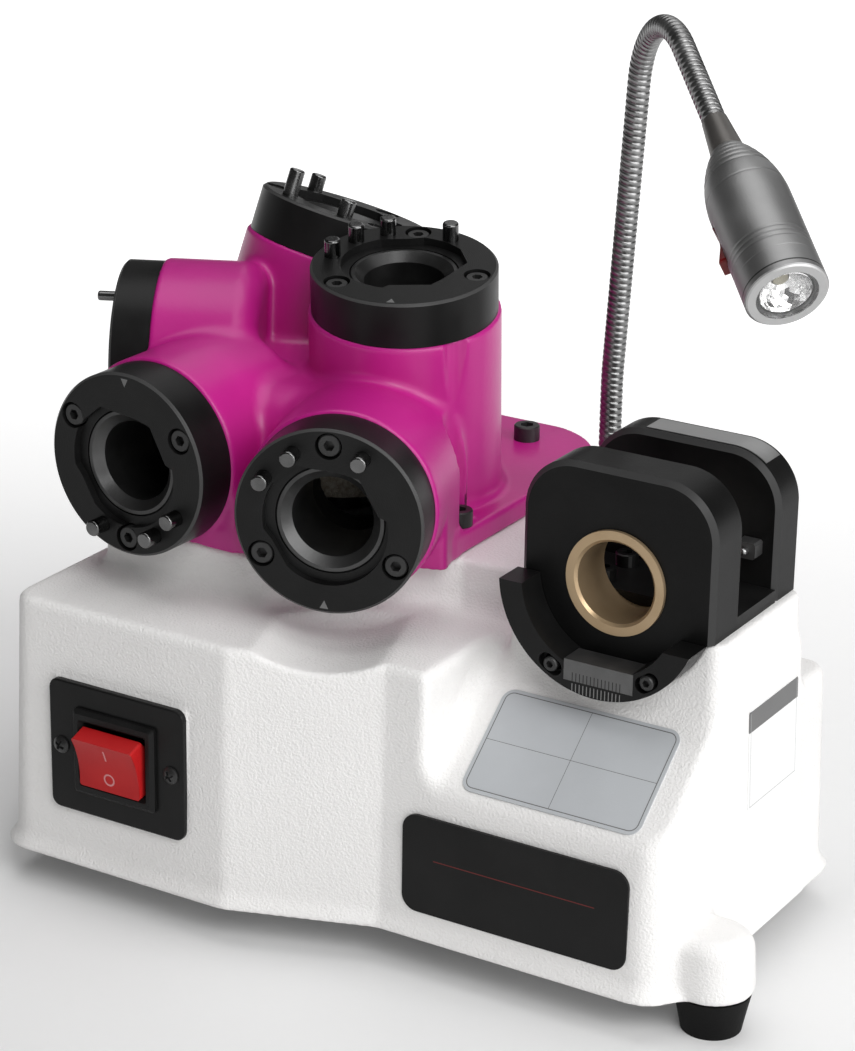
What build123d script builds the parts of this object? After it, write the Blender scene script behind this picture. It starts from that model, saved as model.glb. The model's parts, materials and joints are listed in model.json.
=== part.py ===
from build123d import *
from collections import namedtuple
import math
import os

# Endmill grinder: a white cast base with a motor inside, a grinding head with five chuck ports,
# a setting gauge beside it and a gooseneck work lamp.
# The origin is on the floor, in the middle of the machine's overall box. X runs to the right, Y to the back.
# The sizes are measured from the spindle's axis, and every node is moved to the origin when it is saved.
MIDDLE_X = 54.73
MIDDLE_Y = 1.8

# Heights above the floor
FOOT_H = 12.0
BASE_Z = FOOT_H
LEDGE_Z = 96.0
SEAT_Z = 111.0
CAVITY_TOP_Z = 90.0
SLOPE_LOW_Z = 60.5
SLOPE_TOP_Z = 89.0
REAR_LEDGE_Z = 80.0

# Plan of the base walls
WALL_LEFT_X = -61.0
WALL_RIGHT_X = 161.0
FRONT_LEFT_Y = -97.0
FRONT_RIGHT_Y = -81.0
FACET_START_X = 21.0
FACET_END_X = 67.0
REAR_Y = 90.0
REAR_RIGHT_Y = 31.0
REAR_FACET_START_X = 118.0
REAR_FACET_END_X = 88.0
WALL_CORNER_R = 9.0
WALL_T = 6.0
LIP_OUT = 3.3
LIP_H = 3.0
LIP_TAPER_H = 5.0

# Upper step of the base, which carries the head and the gauge
SEAT_LEFT_X = -50.0
SEAT_FRONT_Y = -60.8
SEAT_FACET_START_X = 11.0
SEAT_FACET_END = (61.7, -27.0)
SEAT_REAR_Y = 83.0
SEAT_CORNER_R = 5.0
STEP_X = 81.0
GAUGE_SEAT_LEFT_X = 88.0
GAUGE_SEAT_FRONT_Y = -46.4
GAUGE_SEAT_REAR_Y = 8.0
GAUGE_SEAT_FACET_X = 112.0
COVE = 9.0
TROUGH_DEPTH = 4.9

# Feet
LUG_R = 12.5
LUG_H = 20.0
LUG_OUT = 7.8
LUG_CHAMFER = 5.0
LUGS = [
    (WALL_RIGHT_X + LUG_OUT, -62.0, 0),
    (WALL_LEFT_X - LUG_OUT, -55.0, 180),
    (125.0, REAR_RIGHT_Y + LUG_OUT, 90),
    (-38.0, REAR_Y + LUG_OUT, 90),
]
LUG_PLACES = [(x, y) for x, y, _ in LUGS]
FOOT_TOP_R = 11.5
FOOT_BOTTOM_R = 9.0
FOOT_BORE_R = 2.2
FOOT_RECESS_R = 4.2
FOOT_RECESS_H = 5.0

# Fits
CLEAR = 0.05
RUN_CLEAR = 0.03
GAP = 0.3
CUTOUT_CLEAR = 0.2
SCREW_GRIP = 12.0
SHORT_GRIP = 8.0
HOLE_EXTRA = 2.0

# Bottom plate
PLATE_T = 2.5
PLATE_INSET = 4.0
BOSS_R = 5.0
BOSS_TOP_Z = 40.0
BOSS_PLACES = [(-52, -88), (-52, 81), (14, -88), (140, -72), (152, 18), (78, -72), (76, 81)]

# Switch on the front left wall
SWITCH_X = -17.2
SWITCH_Z = 52.0
SWITCH_PLATE_W = 50.0
SWITCH_PLATE_H = 43.0
SWITCH_PLATE_T = 2.0
SWITCH_BEZEL_W = 30.4
SWITCH_BEZEL_H = 28.0
SWITCH_BEZEL_T = 2.2
SWITCH_BODY_W = 27.0
SWITCH_BODY_H = 24.5
SWITCH_BODY_D = 22.0
ROCKER_W = 22.4
ROCKER_H = 17.6
ROCKER_PROUD = 3.5
ROCKER_WAIST = 2.3
ROCKER_DEPTH = 2.0
ROCKER_AXLE_R = 1.5
ROCKER_TIP = 14.0
ROCKER_ROOM = 1.0
SWITCH_SCREW_X = 20.5

# Bare panels
NAME_X = 112.6
NAME_Z = 36.4
NAME_W = 75.4
NAME_H = 31.6
NAME_T = 1.0
PANEL_X = 121.3
PANEL_W = 58.8
PANEL_L = 35.0
PANEL_UP = 20.7
PANEL_T = 0.4
SIDE_Y = -12.0
SIDE_Z = 69.0
SIDE_W = 32.6
SIDE_H = 31.5

# Mains inlet at the back
INLET_X = 30.0
INLET_Z = 52.0
INLET_W = 50.0
INLET_H = 28.0
INLET_BODY_W = 28.0
INLET_BODY_H = 20.5
INLET_BODY_D = 26.0
INLET_T = 3.0
INLET_SCREW_X = 20.0
SOCKET_W = 24.0
SOCKET_H = 16.0
SOCKET_D = 16.0
BLADE_PLACES = [(-7.0, -2.0), (7.0, -2.0), (0.0, 2.0)]
BLADE_W = 2.0
BLADE_H = 4.0
BLADE_IN = 3.0
BLADE_TAIL = 6.0

# Motor and spindle
MOTOR_R = 49.0
BELL_T = 12.0
STATOR_R = 47.0
STATOR_BORE_R = 30.0
STATOR_LOW_Z = 36.0
MOTOR_LOW_Z = 24.0
ROTOR_R = 29.2
SHAFT_R = 6.0
SHAFT_LOW_Z = 26.0
SHAFT_TOP_Z = SEAT_Z + 36.0
BEARING_R = 14.0
BEARING_T = 8.0
MOTOR_SCREW_PCR = 40.0
SPINDLE_HOLE_R = 13.0
CAP_R = 17.0
CAP_L = 52.0
CAP_PLACE = (100.0, -20.0, 33.0)

# Grinding wheel
HUB_FLANGE_R = 17.0
HUB_FLANGE_T = 6.0
HUB_R = 10.0
WHEEL_LOW_Z = SEAT_Z + 13.0
WHEEL_T = 16.0
CORE_R = 31.0
WHEEL_R = 38.0
NUT_FLATS = 19.0
NUT_H = 5.5

# Head casting
HEAD_BODY_R = 48.0
HEAD_BODY_TOP_Z = SEAT_Z + 47.0
HEAD_CAVITY_R = 42.0
HEAD_CAVITY_TOP_Z = SEAT_Z + 38.0
NOZZLE_R = 29.8
HEAD_FOOT_T = 7.0
HEAD_LEFT_X = -48.0
HEAD_RIGHT_X = 59.5
HEAD_FRONT_Y = -60.5
HEAD_REAR_Y = 80.0
HEAD_FACET_END_Y = -30.0
HEAD_REAR_CORNER_R = 30.0
HEAD_SCREW_PLACES = [(54.4, -18.0), (32.3, 62.2), (-40.0, 71.0)]
HEAD_SCREW_ROOM = 30.0

# Chuck ports
RING_R = 28.85
RING_T = 14.5
RING_EDGE = 0.8
POCKET_DEPTH = 2.5
POCKET_R = 19.5
POCKET_WIDE_R = 20.1
SLEEVE_R = 16.8
SLEEVE_END = 28.0
SLEEVE_EDGE = 0.5
BORE_R = 12.5
BORE_LEAD = 2.7
PORT_PASSAGE_R = 13.5
SCREW_PCR = 23.6
PIN_PCR = 23.0
PIN_IN = 7.0

# Stop pins: radius, length that stands out
PIN = (2.5, 5.6)
LONG_PIN = (2.5, 8.8)
SLIM_PIN = (1.55, 6.4)

# Each port: centre of its front face, heading and rise of its axis, thickness of its ring, length of
# its nozzle, turn of its cam pocket, angles of its screws, and its stop pins by angle
Port = namedtuple("Port", "face azimuth rise ring_t nozzle_l turn screws pins")
PORTS = {
    "front_right": Port((42.1, -72.5, SEAT_Z + 22.1), -72.3, 0.0, RING_T, 45.0, 0, (90, 210, 330),
                        {63.6: PIN, 118.4: PIN, 148.5: PIN}),
    "front_left": Port((-28.5, -76.0, SEAT_Z + 26.9), -92.7, 0.0, RING_T, 45.0, 0, (30, 150, 270),
                       {326: PIN, 298: PIN, 246: PIN}),
    "left": Port((-68.5, -21.4, SEAT_Z + 41.9), -154.7, 0.0, RING_T - 1.8, 33.0, 0, (30, 150, 270),
                 {326: PIN, 298: PIN, 64: SLIM_PIN}),
    "rear_top": Port((-22.8, 39.1, SEAT_Z + 81.6), 57.5, 71.6, RING_T, 52.0, 240, (60, 180, 300),
                     {5: PIN, 95: LONG_PIN, 150: PIN}),
    "front_top": Port((26.0, -5.7, SEAT_Z + 82.0), -66.9, 81.2, RING_T, 75.0, 250, (88, 219, 348),
                      {60: PIN, 111.3: PIN, 138.9: PIN, 171.6: PIN}),
}
SKIRT_STARTS = {"front_right": 10.9, "front_left": 0.5}
SKIRT_L = 40.0
PASSAGE_L = 50.0
PASSAGE_SHORT = 4.0

# Socket screws: head radius, head height, shank radius, hexagon across flats
M2_5 = (2.25, 2.5, 1.25, 2.0)
M3 = (2.75, 3.0, 1.5, 2.5)
M4 = (3.5, 4.0, 2.0, 3.0)
M5 = (4.25, 5.0, 2.5, 4.0)
SCREW_SINK = -M4[1] - 0.6

# Setting gauge
GAUGE_X = 124.5
GAUGE_Z = SEAT_Z + 13.0
GAUGE_W = 63.0
GAUGE_TOP_Z = SEAT_Z + 47.0
GAUGE_CORNER_R = 17.0
GAUGE_FRONT_Y = -47.0
GAUGE_FRONT_T = 15.6
GAUGE_REAR_Y = -6.2
GAUGE_REAR_T = 12.7
GAUGE_FLOOR_T = 4.0
GAUGE_REAR_DROP = 2.0
GAUGE_BEVEL = 1.6
GAUGE_SCREW_X = 15.0
TONGUE_R = 31.0
TONGUE_GAP = 0.6
BUSH_R = 16.0
BUSH_OUT = 1.2
CRADLE_R = 32.5
CRADLE_INNER_R = 25.0
CRADLE_T = 11.0
CRADLE_LEFT_Z = GAUGE_Z - 2.0
CRADLE_RIGHT_Z = GAUGE_Z - 13.0
CRADLE_SWING = 2.5
CRADLE_SCREW_R = 28.9
CRADLE_SCREW_ANGLES = (239.5, 305.5)
CRADLE_SINK = 2.4
SCALE_X = 125.6
SCALE_W = 22.6
SCALE_LOW_Z = GAUGE_Z - 28.5
SCALE_TOP_Z = GAUGE_Z - 22.0
SCALE_DEPTH = 9.0
FINGER_X = 147.7
FINGER_Z = GAUGE_Z + 3.3
FINGER_R = 1.1
FINGER_OUT = 2.0
FINGER_BLOCK_W = 6.6
FINGER_BLOCK_H = 5.0
FINGER_BLOCK_L = 5.0

# Gooseneck lamp, in the upright plane that it bends in
LAMP_ROOT = (81.5, 27.4)
LAMP_HEADING = -43.1
LAMP_LEAN = 8.6
NECK_R = 3.5
NECK_ROOT_R = 3.05
NECK_BORE_R = 1.8
RIB_PITCH = 2.0
FERRULE_R = 7.5
FERRULE_H = 14.0
FERRULE_STEM_R = 5.0
FERRULE_STEM_L = 12.0
SPIGOT_R = 2.6
SPIGOT_L = 9.0
NECK_RISE_L = 29.0
NECK_LEAN_R = 60.0
NECK_SLANT_L = 84.5
NECK_BEND_R = 25.0
LAMP_DROOP = 28.5
NECK_STRAIGHT = 7.0
NECK_UPPER_L = 24.0
NECK_START_GAP = 2.5
LAMP_SLEEVE_L = 13.0
LAMP_SLEEVE_START_R = 3.7
LAMP_L = 47.0
LAMP_R = 11.6
LAMP_WALL = 2.0
LAMP_NECK_R = 4.9
LAMP_SHOULDER_L = 22.0
LAMP_BEZEL_L = 8.0
LENS_R = 8.6
LENS_T = 1.6
LAMP_SWITCH_TURN = 30.0
LAMP_ROCKER_AT = 31.5
LAMP_ROCKER_L = 14.0
LAMP_ROCKER_W = 7.0
LAMP_ROCKER_OUT = 3.4
LAMP_ROCKER_TIP = 8.0
LAMP_AXLE_R = 0.7
LAMP_AXLE_IN = 1.8

BOTTOM = (Align.CENTER, Align.CENTER, Align.MIN)
TOP = (Align.CENTER, Align.CENTER, Align.MAX)


def at(x, y, z):
    """A plain move."""
    return Location((x, y, z))


def drum(radius, low, high, x=0.0, y=0.0):
    """An upright cylinder between two heights."""
    return at(x, y, low) * Cylinder(radius, high - low, align=BOTTOM)


def block(x0, x1, y0, y1, z0, z1):
    """A box between two corners."""
    size = (x1 - x0, y1 - y0, z1 - z0)
    middle = ((x0 + x1) / 2, (y0 + y1) / 2, (z0 + z1) / 2)
    return Location(middle) * Box(*size)


def outline(points, radius):
    """A closed outline with its corners rounded."""
    face = make_face(Polyline(*points, close=True))
    return fillet(face.vertices(), radius)


def prism(face, low, high, taper=0.0):
    """An outline raised between two heights."""
    return extrude(at(0, 0, low) * face, high - low, dir=(0, 0, 1), taper=taper)


def heading(azimuth, rise):
    """A unit vector from a heading in plan and a rise above level."""
    a = math.radians(azimuth)
    e = math.radians(rise)
    return Vector(math.cos(e) * math.cos(a), math.cos(e) * math.sin(a), math.sin(e))


def round_place(radius, angle):
    """A place on a pitch circle."""
    a = math.radians(angle)
    return (radius * math.cos(a), radius * math.sin(a))


def socket_screw(kind, length):
    """A socket head screw: its head stands on the plane, its shank goes below."""
    head_r, head_h, shank_r, flats = kind
    screw = Cylinder(head_r, head_h, align=BOTTOM) + Cylinder(shank_r, length, align=TOP)
    rim = screw.edges().filter_by(GeomType.CIRCLE).group_by(Axis.Z)[-1]
    screw = chamfer(rim, 0.35)
    recess = extrude(RegularPolygon(flats / 2, 6, major_radius=False), -head_h * 0.6)
    return screw - at(0, 0, head_h) * recess


def save(name, shape):
    """Write one node in the machine's frame, with its solids kept apart."""
    solids = [solid.moved(Location((-MIDDLE_X, -MIDDLE_Y, 0))) for solid in shape.solids()]
    node = solids[0] if len(solids) == 1 else Compound(children=solids)
    export_step(node, os.path.join("parts", name + ".step"))


def port_plane(face, azimuth, rise):
    """The plane of a port's front face: its axis points outwards and its X axis is level."""
    side = heading(azimuth + 90, 0)
    return Plane(origin=face, x_dir=side, z_dir=heading(azimuth, rise))


PORT_PLANES = {name: port_plane(port.face, port.azimuth, port.rise) for name, port in PORTS.items()}


# Base

def base_outline():
    """The outline of the base's walls."""
    points = [
        (WALL_LEFT_X, FRONT_LEFT_Y),
        (FACET_START_X, FRONT_LEFT_Y),
        (FACET_END_X, FRONT_RIGHT_Y),
        (WALL_RIGHT_X, FRONT_RIGHT_Y),
        (WALL_RIGHT_X, REAR_RIGHT_Y),
        (REAR_FACET_START_X, REAR_RIGHT_Y),
        (REAR_FACET_END_X, REAR_Y),
        (WALL_LEFT_X, REAR_Y),
    ]
    return outline(points, WALL_CORNER_R)


def seat_outline(grow=0.0):
    """The outline of the raised step under the head and the gauge."""
    points = [
        (SEAT_LEFT_X, SEAT_FRONT_Y),
        (SEAT_FACET_START_X, SEAT_FRONT_Y),
        SEAT_FACET_END,
        (GAUGE_SEAT_LEFT_X, SEAT_FACET_END[1] + 1),
        (GAUGE_SEAT_LEFT_X, GAUGE_SEAT_FRONT_Y),
        (WALL_RIGHT_X - 1, GAUGE_SEAT_FRONT_Y),
        (WALL_RIGHT_X - 1, GAUGE_SEAT_REAR_Y),
        (GAUGE_SEAT_FACET_X, GAUGE_SEAT_REAR_Y),
        (REAR_FACET_END_X - 6, SEAT_REAR_Y),
        (SEAT_LEFT_X, SEAT_REAR_Y),
    ]
    face = outline(points, SEAT_CORNER_R)
    return offset(face, grow) if grow else face


def console_cut(left_x, deeper):
    """The space over the sloped console, moved down to give the inner face of its wall."""
    rise = (SLOPE_TOP_Z - SLOPE_LOW_Z) / (GAUGE_SEAT_FRONT_Y - FRONT_RIGHT_Y)
    front = FRONT_RIGHT_Y - 30
    back = GAUGE_SEAT_FRONT_Y + deeper
    points = [
        (front, SLOPE_LOW_Z - 30 * rise - deeper),
        (back, SLOPE_TOP_Z + deeper * (rise - 1)),
        (back, SEAT_Z + 20),
        (front, SEAT_Z + 20),
    ]
    face = Plane.YZ * make_face(Polyline(*points, close=True))
    return at(left_x, 0, 0) * extrude(face, 200, dir=(1, 0, 0))


def make_lug(x, y, outward):
    """A round-ended lug that carries a foot beside the wall."""
    reach = LUG_OUT + WALL_T
    slot = Rotation(0, 0, outward) * (at(-reach / 2, 0, 0) * SlotCenterToCenter(reach, 2 * LUG_R))
    lug = prism(at(x, y, 0) * slot, BASE_Z, BASE_Z + LUG_H)
    return chamfer(lug.edges().group_by(Axis.Z)[-1], LUG_CHAMFER)


def make_base_housing():
    """The hollow casting with its ledges, cove, lugs and openings."""
    walls = base_outline()
    body = prism(walls, BASE_Z, LEDGE_Z)
    body -= console_cut(STEP_X, 0)
    body -= block(REAR_FACET_START_X - 6, 200, GAUGE_SEAT_REAR_Y, 100, REAR_LEDGE_Z, SEAT_Z + 9)
    seat = prism(seat_outline(), LEDGE_Z, SEAT_Z)
    gauge_seat = block(GAUGE_SEAT_LEFT_X, WALL_RIGHT_X - 1, GAUGE_SEAT_FRONT_Y, GAUGE_SEAT_REAR_Y,
                       REAR_LEDGE_Z, SEAT_Z)
    cove = prism(seat_outline(COVE), LEDGE_Z, LEDGE_Z + COVE, taper=45)
    cove &= prism(walls, LEDGE_Z, SEAT_Z)
    cove -= console_cut(STEP_X, 0)
    cove -= block(REAR_FACET_START_X - 6, 200, GAUGE_SEAT_REAR_Y, 100, REAR_LEDGE_Z, SEAT_Z + 9)
    body += [seat, gauge_seat, cove]
    lip_face = offset(walls, LIP_OUT)
    taper = math.degrees(math.atan(LIP_OUT / LIP_TAPER_H))
    body += prism(lip_face, BASE_Z, BASE_Z + LIP_H)
    body += prism(lip_face, BASE_Z + LIP_H, BASE_Z + LIP_H + LIP_TAPER_H, taper=taper)
    body += [make_lug(*lug) for lug in LUGS]
    inner = prism(offset(walls, -WALL_T), BASE_Z, CAVITY_TOP_Z)
    inner -= console_cut(STEP_X - WALL_T, WALL_T + 2)
    inner -= block(REAR_FACET_START_X - 12, 200, GAUGE_SEAT_REAR_Y - WALL_T, 100,
                   REAR_LEDGE_Z - WALL_T, SEAT_Z)
    for x, y in BOSS_PLACES:
        inner -= drum(BOSS_R, BASE_Z, BOSS_TOP_Z, x, y)
    body -= inner
    body -= prism(offset(walls, -PLATE_INSET), BASE_Z, BASE_Z + PLATE_T + CLEAR)
    front_right = PORT_PLANES["front_right"]
    trough = front_right * Cylinder(front_right.origin.Z - LEDGE_Z + TROUGH_DEPTH, 120)
    body -= trough & block(-60, STEP_X, -120, -38, LEDGE_Z - 10, LEDGE_Z + 2)
    body -= drum(SPINDLE_HOLE_R, CAVITY_TOP_Z - 1, SEAT_Z + 1)
    tongue = at(GAUGE_X, 0, GAUGE_Z) * (Plane.XZ * Cylinder(TONGUE_R + TONGUE_GAP, 200))
    body -= tongue & block(80, 170, -80, GAUGE_FRONT_Y + GAUGE_FRONT_T + TONGUE_GAP, 60, SEAT_Z + 9)
    return body - base_holes()


def base_holes():
    """Every hole and opening in the casting's walls."""
    holes = []
    hole_r = M4[2] + CLEAR
    for x, y in BOSS_PLACES:
        holes.append(drum(hole_r, BASE_Z, BASE_Z + PLATE_T + SCREW_GRIP + HOLE_EXTRA, x, y))
    for x, y in LUG_PLACES:
        holes.append(drum(hole_r, BASE_Z - 1, BASE_Z + SCREW_GRIP + HOLE_EXTRA, x, y))
    for x, y in HEAD_SCREW_PLACES:
        holes.append(drum(M5[2] + CLEAR, SEAT_Z - SCREW_GRIP - HOLE_EXTRA, SEAT_Z + 1, x, y))
    for x, y in motor_screw_places():
        holes.append(drum(hole_r, CAVITY_TOP_Z - 1, CAVITY_TOP_Z + SHORT_GRIP + HOLE_EXTRA, x, y))
    for x, y in gauge_screw_places():
        holes.append(drum(hole_r, SEAT_Z - SHORT_GRIP - HOLE_EXTRA, SEAT_Z + 1, x, y))
    x, y = LAMP_ROOT
    holes.append(drum(FERRULE_STEM_R + CLEAR, CAVITY_TOP_Z - 1, SEAT_Z + 1, x, y))
    half_w = SWITCH_BODY_W / 2 + CUTOUT_CLEAR
    half_h = SWITCH_BODY_H / 2 + CUTOUT_CLEAR
    holes.append(block(SWITCH_X - half_w, SWITCH_X + half_w, FRONT_LEFT_Y - 5, FRONT_LEFT_Y + 12,
                       SWITCH_Z - half_h, SWITCH_Z + half_h))
    for side in (-1, 1):
        hole = Plane.XZ * Cylinder(M3[2] + CLEAR, 20)
        holes.append(at(SWITCH_X + side * SWITCH_SCREW_X, FRONT_LEFT_Y, SWITCH_Z) * hole)
        holes.append(at(INLET_X + side * INLET_SCREW_X, REAR_Y, INLET_Z) * hole)
    half_w = INLET_BODY_W / 2 + CUTOUT_CLEAR
    half_h = INLET_BODY_H / 2 + CUTOUT_CLEAR
    holes.append(block(INLET_X - half_w, INLET_X + half_w, REAR_Y - 12, REAR_Y + 5,
                       INLET_Z - half_h, INLET_Z + half_h))
    return holes


def make_bottom_plate():
    """The sheet that closes the base from below."""
    plate = prism(offset(base_outline(), -PLATE_INSET - 0.2), BASE_Z, BASE_Z + PLATE_T)
    for x, y in BOSS_PLACES:
        plate -= drum(M4[2] + CLEAR, BASE_Z - 1, BASE_Z + 9, x, y)
    return plate


def upward_screws(kind, places, z, length):
    """Screws driven from below: the head hangs under the given height."""
    flip = Rotation(180, 0, 0)
    return Compound(children=[at(x, y, z) * flip * socket_screw(kind, length) for x, y in places])


def downward_screws(kind, places, z, length):
    """Screws driven from above."""
    return Compound(children=[at(x, y, z) * socket_screw(kind, length) for x, y in places])


def make_feet():
    """Tapered rubber feet with a recess for their screw."""
    foot = Cone(FOOT_BOTTOM_R, FOOT_TOP_R, FOOT_H, align=BOTTOM)
    foot -= Cylinder(FOOT_BORE_R, FOOT_H * 3)
    foot -= Cylinder(FOOT_RECESS_R, FOOT_RECESS_H * 2)
    return Compound(children=[at(x, y, 0) * foot for x, y in LUG_PLACES])


def wall_screws(kind, places, y, length, turn):
    """Screws in an upright wall, facing the front at turn 90 and the back at turn -90."""
    return Compound(children=[
        at(x, y, z) * Rotation(turn, 0, 0) * socket_screw(kind, length) for x, z in places
    ])


def make_switch_plate():
    """The black plate around the mains switch."""
    plate = Box(SWITCH_PLATE_W, SWITCH_PLATE_T, SWITCH_PLATE_H)
    plate = fillet(plate.edges().filter_by(Axis.Y), 1.5)
    plate -= Box(SWITCH_BODY_W + 0.4, 9, SWITCH_BODY_H + 0.4)
    hole = Plane.XZ * Cylinder(M3[2] + CLEAR, 20)
    plate -= [at(side * SWITCH_SCREW_X, 0, 0) * hole for side in (-1, 1)]
    return at(SWITCH_X, FRONT_LEFT_Y - SWITCH_PLATE_T / 2, SWITCH_Z) * plate


def switch_front_y():
    """The front of the switch's bezel."""
    return FRONT_LEFT_Y - SWITCH_PLATE_T - SWITCH_BEZEL_T


def make_switch_body():
    """The switch's case with its bezel and the well that the rocker tips in."""
    front = switch_front_y()
    bezel = Box(SWITCH_BEZEL_W, SWITCH_BEZEL_T, SWITCH_BEZEL_H)
    bezel = fillet(bezel.edges().filter_by(Axis.Y), 1.2)
    bezel = at(0, front + SWITCH_BEZEL_T / 2, 0) * bezel
    depth = SWITCH_BODY_D
    case = block(-SWITCH_BODY_W / 2, SWITCH_BODY_W / 2, front + SWITCH_BEZEL_T,
                 front + SWITCH_BEZEL_T + depth, -SWITCH_BODY_H / 2, SWITCH_BODY_H / 2)
    body = bezel + case
    half_w = ROCKER_W / 2 + GAP
    half_h = ROCKER_H / 2 + ROCKER_ROOM
    body -= block(-half_w, half_w, front - 1, front + depth * 0.72, -half_h, half_h)
    axle = at(0, front + ROCKER_DEPTH, 0) * (Plane.YZ * Cylinder(ROCKER_AXLE_R, SWITCH_BODY_W - 1))
    return at(SWITCH_X, 0, SWITCH_Z) * (body + axle)


def make_switch_rocker():
    """One hollow face from end to end, with a body behind it that narrows towards the axle."""
    front = switch_front_y()
    half = ROCKER_H / 2
    top = (front - ROCKER_PROUD, half)
    bottom = (front - ROCKER_PROUD, -half)
    hollow = ThreePointArc(top, (front - ROCKER_WAIST, 0), bottom)
    back = Polyline(
        bottom,
        (front + ROCKER_AXLE_R + 1, 1 - half),
        (front + ROCKER_DEPTH + 4, -3.5),
        (front + ROCKER_DEPTH + 4, 3.5),
        (front + ROCKER_AXLE_R + 1, half - 1),
        top,
    )
    face = Plane.YZ * make_face([hollow, *back.edges()])
    body = at(-ROCKER_W / 2, 0, 0) * extrude(face, ROCKER_W, dir=(1, 0, 0))
    body -= at(0, front + ROCKER_DEPTH, 0) * (Plane.YZ * Cylinder(ROCKER_AXLE_R + CLEAR, 60))
    pivot = at(0, front + ROCKER_DEPTH, 0)
    tipped = pivot * Rotation(ROCKER_TIP, 0, 0) * pivot.inverse() * body
    return at(SWITCH_X, 0, SWITCH_Z) * tipped


def make_name_plate():
    """The bare dark plate on the front right wall."""
    plate = Box(NAME_W, NAME_T, NAME_H)
    plate = fillet(plate.edges().filter_by(Axis.Y), 5)
    return at(NAME_X, FRONT_RIGHT_Y - NAME_T / 2, NAME_Z) * plate


def make_console_panel():
    """The bare panel on the sloped console."""
    slope = math.degrees(math.atan2(SLOPE_TOP_Z - SLOPE_LOW_Z, GAUGE_SEAT_FRONT_Y - FRONT_RIGHT_Y))
    panel = fillet(Rectangle(PANEL_W, PANEL_L).vertices(), 4)
    panel = extrude(panel, PANEL_T)
    middle_y = FRONT_RIGHT_Y + PANEL_UP * math.cos(math.radians(slope))
    middle_z = SLOPE_LOW_Z + PANEL_UP * math.sin(math.radians(slope))
    return at(PANEL_X, middle_y, middle_z) * Rotation(slope, 0, 0) * panel


def make_side_panel():
    """The bare panel on the right wall."""
    panel = Box(PANEL_T, SIDE_W, SIDE_H)
    return at(WALL_RIGHT_X + PANEL_T / 2, SIDE_Y, SIDE_Z) * panel


def inlet_blade(x, z, grow=0.0):
    """A blade from inside the socket to its tail behind the body."""
    half_w = BLADE_W / 2 + grow
    half_h = BLADE_H / 2 + grow
    return block(x - half_w, x + half_w, -INLET_BODY_D - BLADE_TAIL, -BLADE_IN, z - half_h, z + half_h)


def make_power_inlet():
    """The mains inlet: flange, body, socket and slots for its blades."""
    body = block(-INLET_W / 2, INLET_W / 2, 0, INLET_T, -INLET_H / 2, INLET_H / 2)
    body = fillet(body.edges().filter_by(Axis.Y), 3)
    body += block(-INLET_BODY_W / 2, INLET_BODY_W / 2, -INLET_BODY_D, 0,
                  -INLET_BODY_H / 2, INLET_BODY_H / 2)
    body -= block(-SOCKET_W / 2, SOCKET_W / 2, -SOCKET_D, INLET_T + 1, -SOCKET_H / 2, SOCKET_H / 2)
    body -= [inlet_blade(x, z, CLEAR) for x, z in BLADE_PLACES]
    hole = Plane.XZ * Cylinder(M3[2] + CLEAR, 20)
    body -= [at(side * INLET_SCREW_X, 0, 0) * hole for side in (-1, 1)]
    return at(INLET_X, REAR_Y, INLET_Z) * body


def make_inlet_blades():
    """The three blades of the mains inlet."""
    blades = [inlet_blade(x, z) for x, z in BLADE_PLACES]
    return at(INLET_X, REAR_Y, INLET_Z) * Compound(children=blades)


# Motor and wheel

def motor_screw_places():
    """The four flange screws of the motor."""
    return [round_place(MOTOR_SCREW_PCR, angle) for angle in (45, 135, 225, 315)]


def bell(low, high, bearing_low):
    """An end bell with a bearing seat."""
    body = drum(MOTOR_R, low, high)
    body -= drum(BEARING_R + CLEAR, bearing_low, bearing_low + BEARING_T)
    return body - drum(SHAFT_R + 1.5, low - 1, high + 1)


UPPER_BELL_LOW_Z = CAVITY_TOP_Z - BELL_T
UPPER_BEARING_Z = UPPER_BELL_LOW_Z
LOWER_BEARING_Z = STATOR_LOW_Z - BEARING_T


def make_upper_bell():
    """The bell bolted under the seat."""
    body = bell(UPPER_BELL_LOW_Z, CAVITY_TOP_Z, UPPER_BEARING_Z)
    for x, y in motor_screw_places():
        body -= drum(M4[2] + CLEAR, 0, CAVITY_TOP_Z + 1, x, y)
    return body


def make_stator():
    """The wound stack in its can, with passages for the flange screws."""
    body = drum(STATOR_R, STATOR_LOW_Z, UPPER_BELL_LOW_Z) - drum(STATOR_BORE_R, 0, 200)
    for x, y in motor_screw_places():
        body -= drum(M4[2] + CLEAR, 0, 200, x, y)
    return body


def make_lower_bell():
    """The bell under the stack, clamped by the same screws."""
    body = bell(MOTOR_LOW_Z, STATOR_LOW_Z, LOWER_BEARING_Z)
    for x, y in motor_screw_places():
        body -= drum(M4[2] + CLEAR, 0, 200, x, y)
    return body


def make_bearing(low):
    """A ball bearing as one ring with a groove between its races."""
    ring = drum(BEARING_R, low, low + BEARING_T) - drum(SHAFT_R + RUN_CLEAR, 0, 200)
    groove = drum(BEARING_R - 2.5, low - 1, low + 0.8) - drum(SHAFT_R + 2.5, 0, 200)
    top_groove = at(0, 0, BEARING_T + 0.2) * groove
    return ring - groove - top_groove


def make_rotor():
    """The rotor stack pressed on the shaft."""
    body = drum(ROTOR_R, STATOR_LOW_Z + 2, UPPER_BELL_LOW_Z - 2)
    return body - drum(SHAFT_R + CLEAR, 0, 200)


def make_shaft():
    """The spindle shaft, with a chamfer at both ends."""
    shaft = drum(SHAFT_R, SHAFT_LOW_Z, SHAFT_TOP_Z)
    return chamfer(shaft.edges().filter_by(GeomType.CIRCLE), 0.8)


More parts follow.
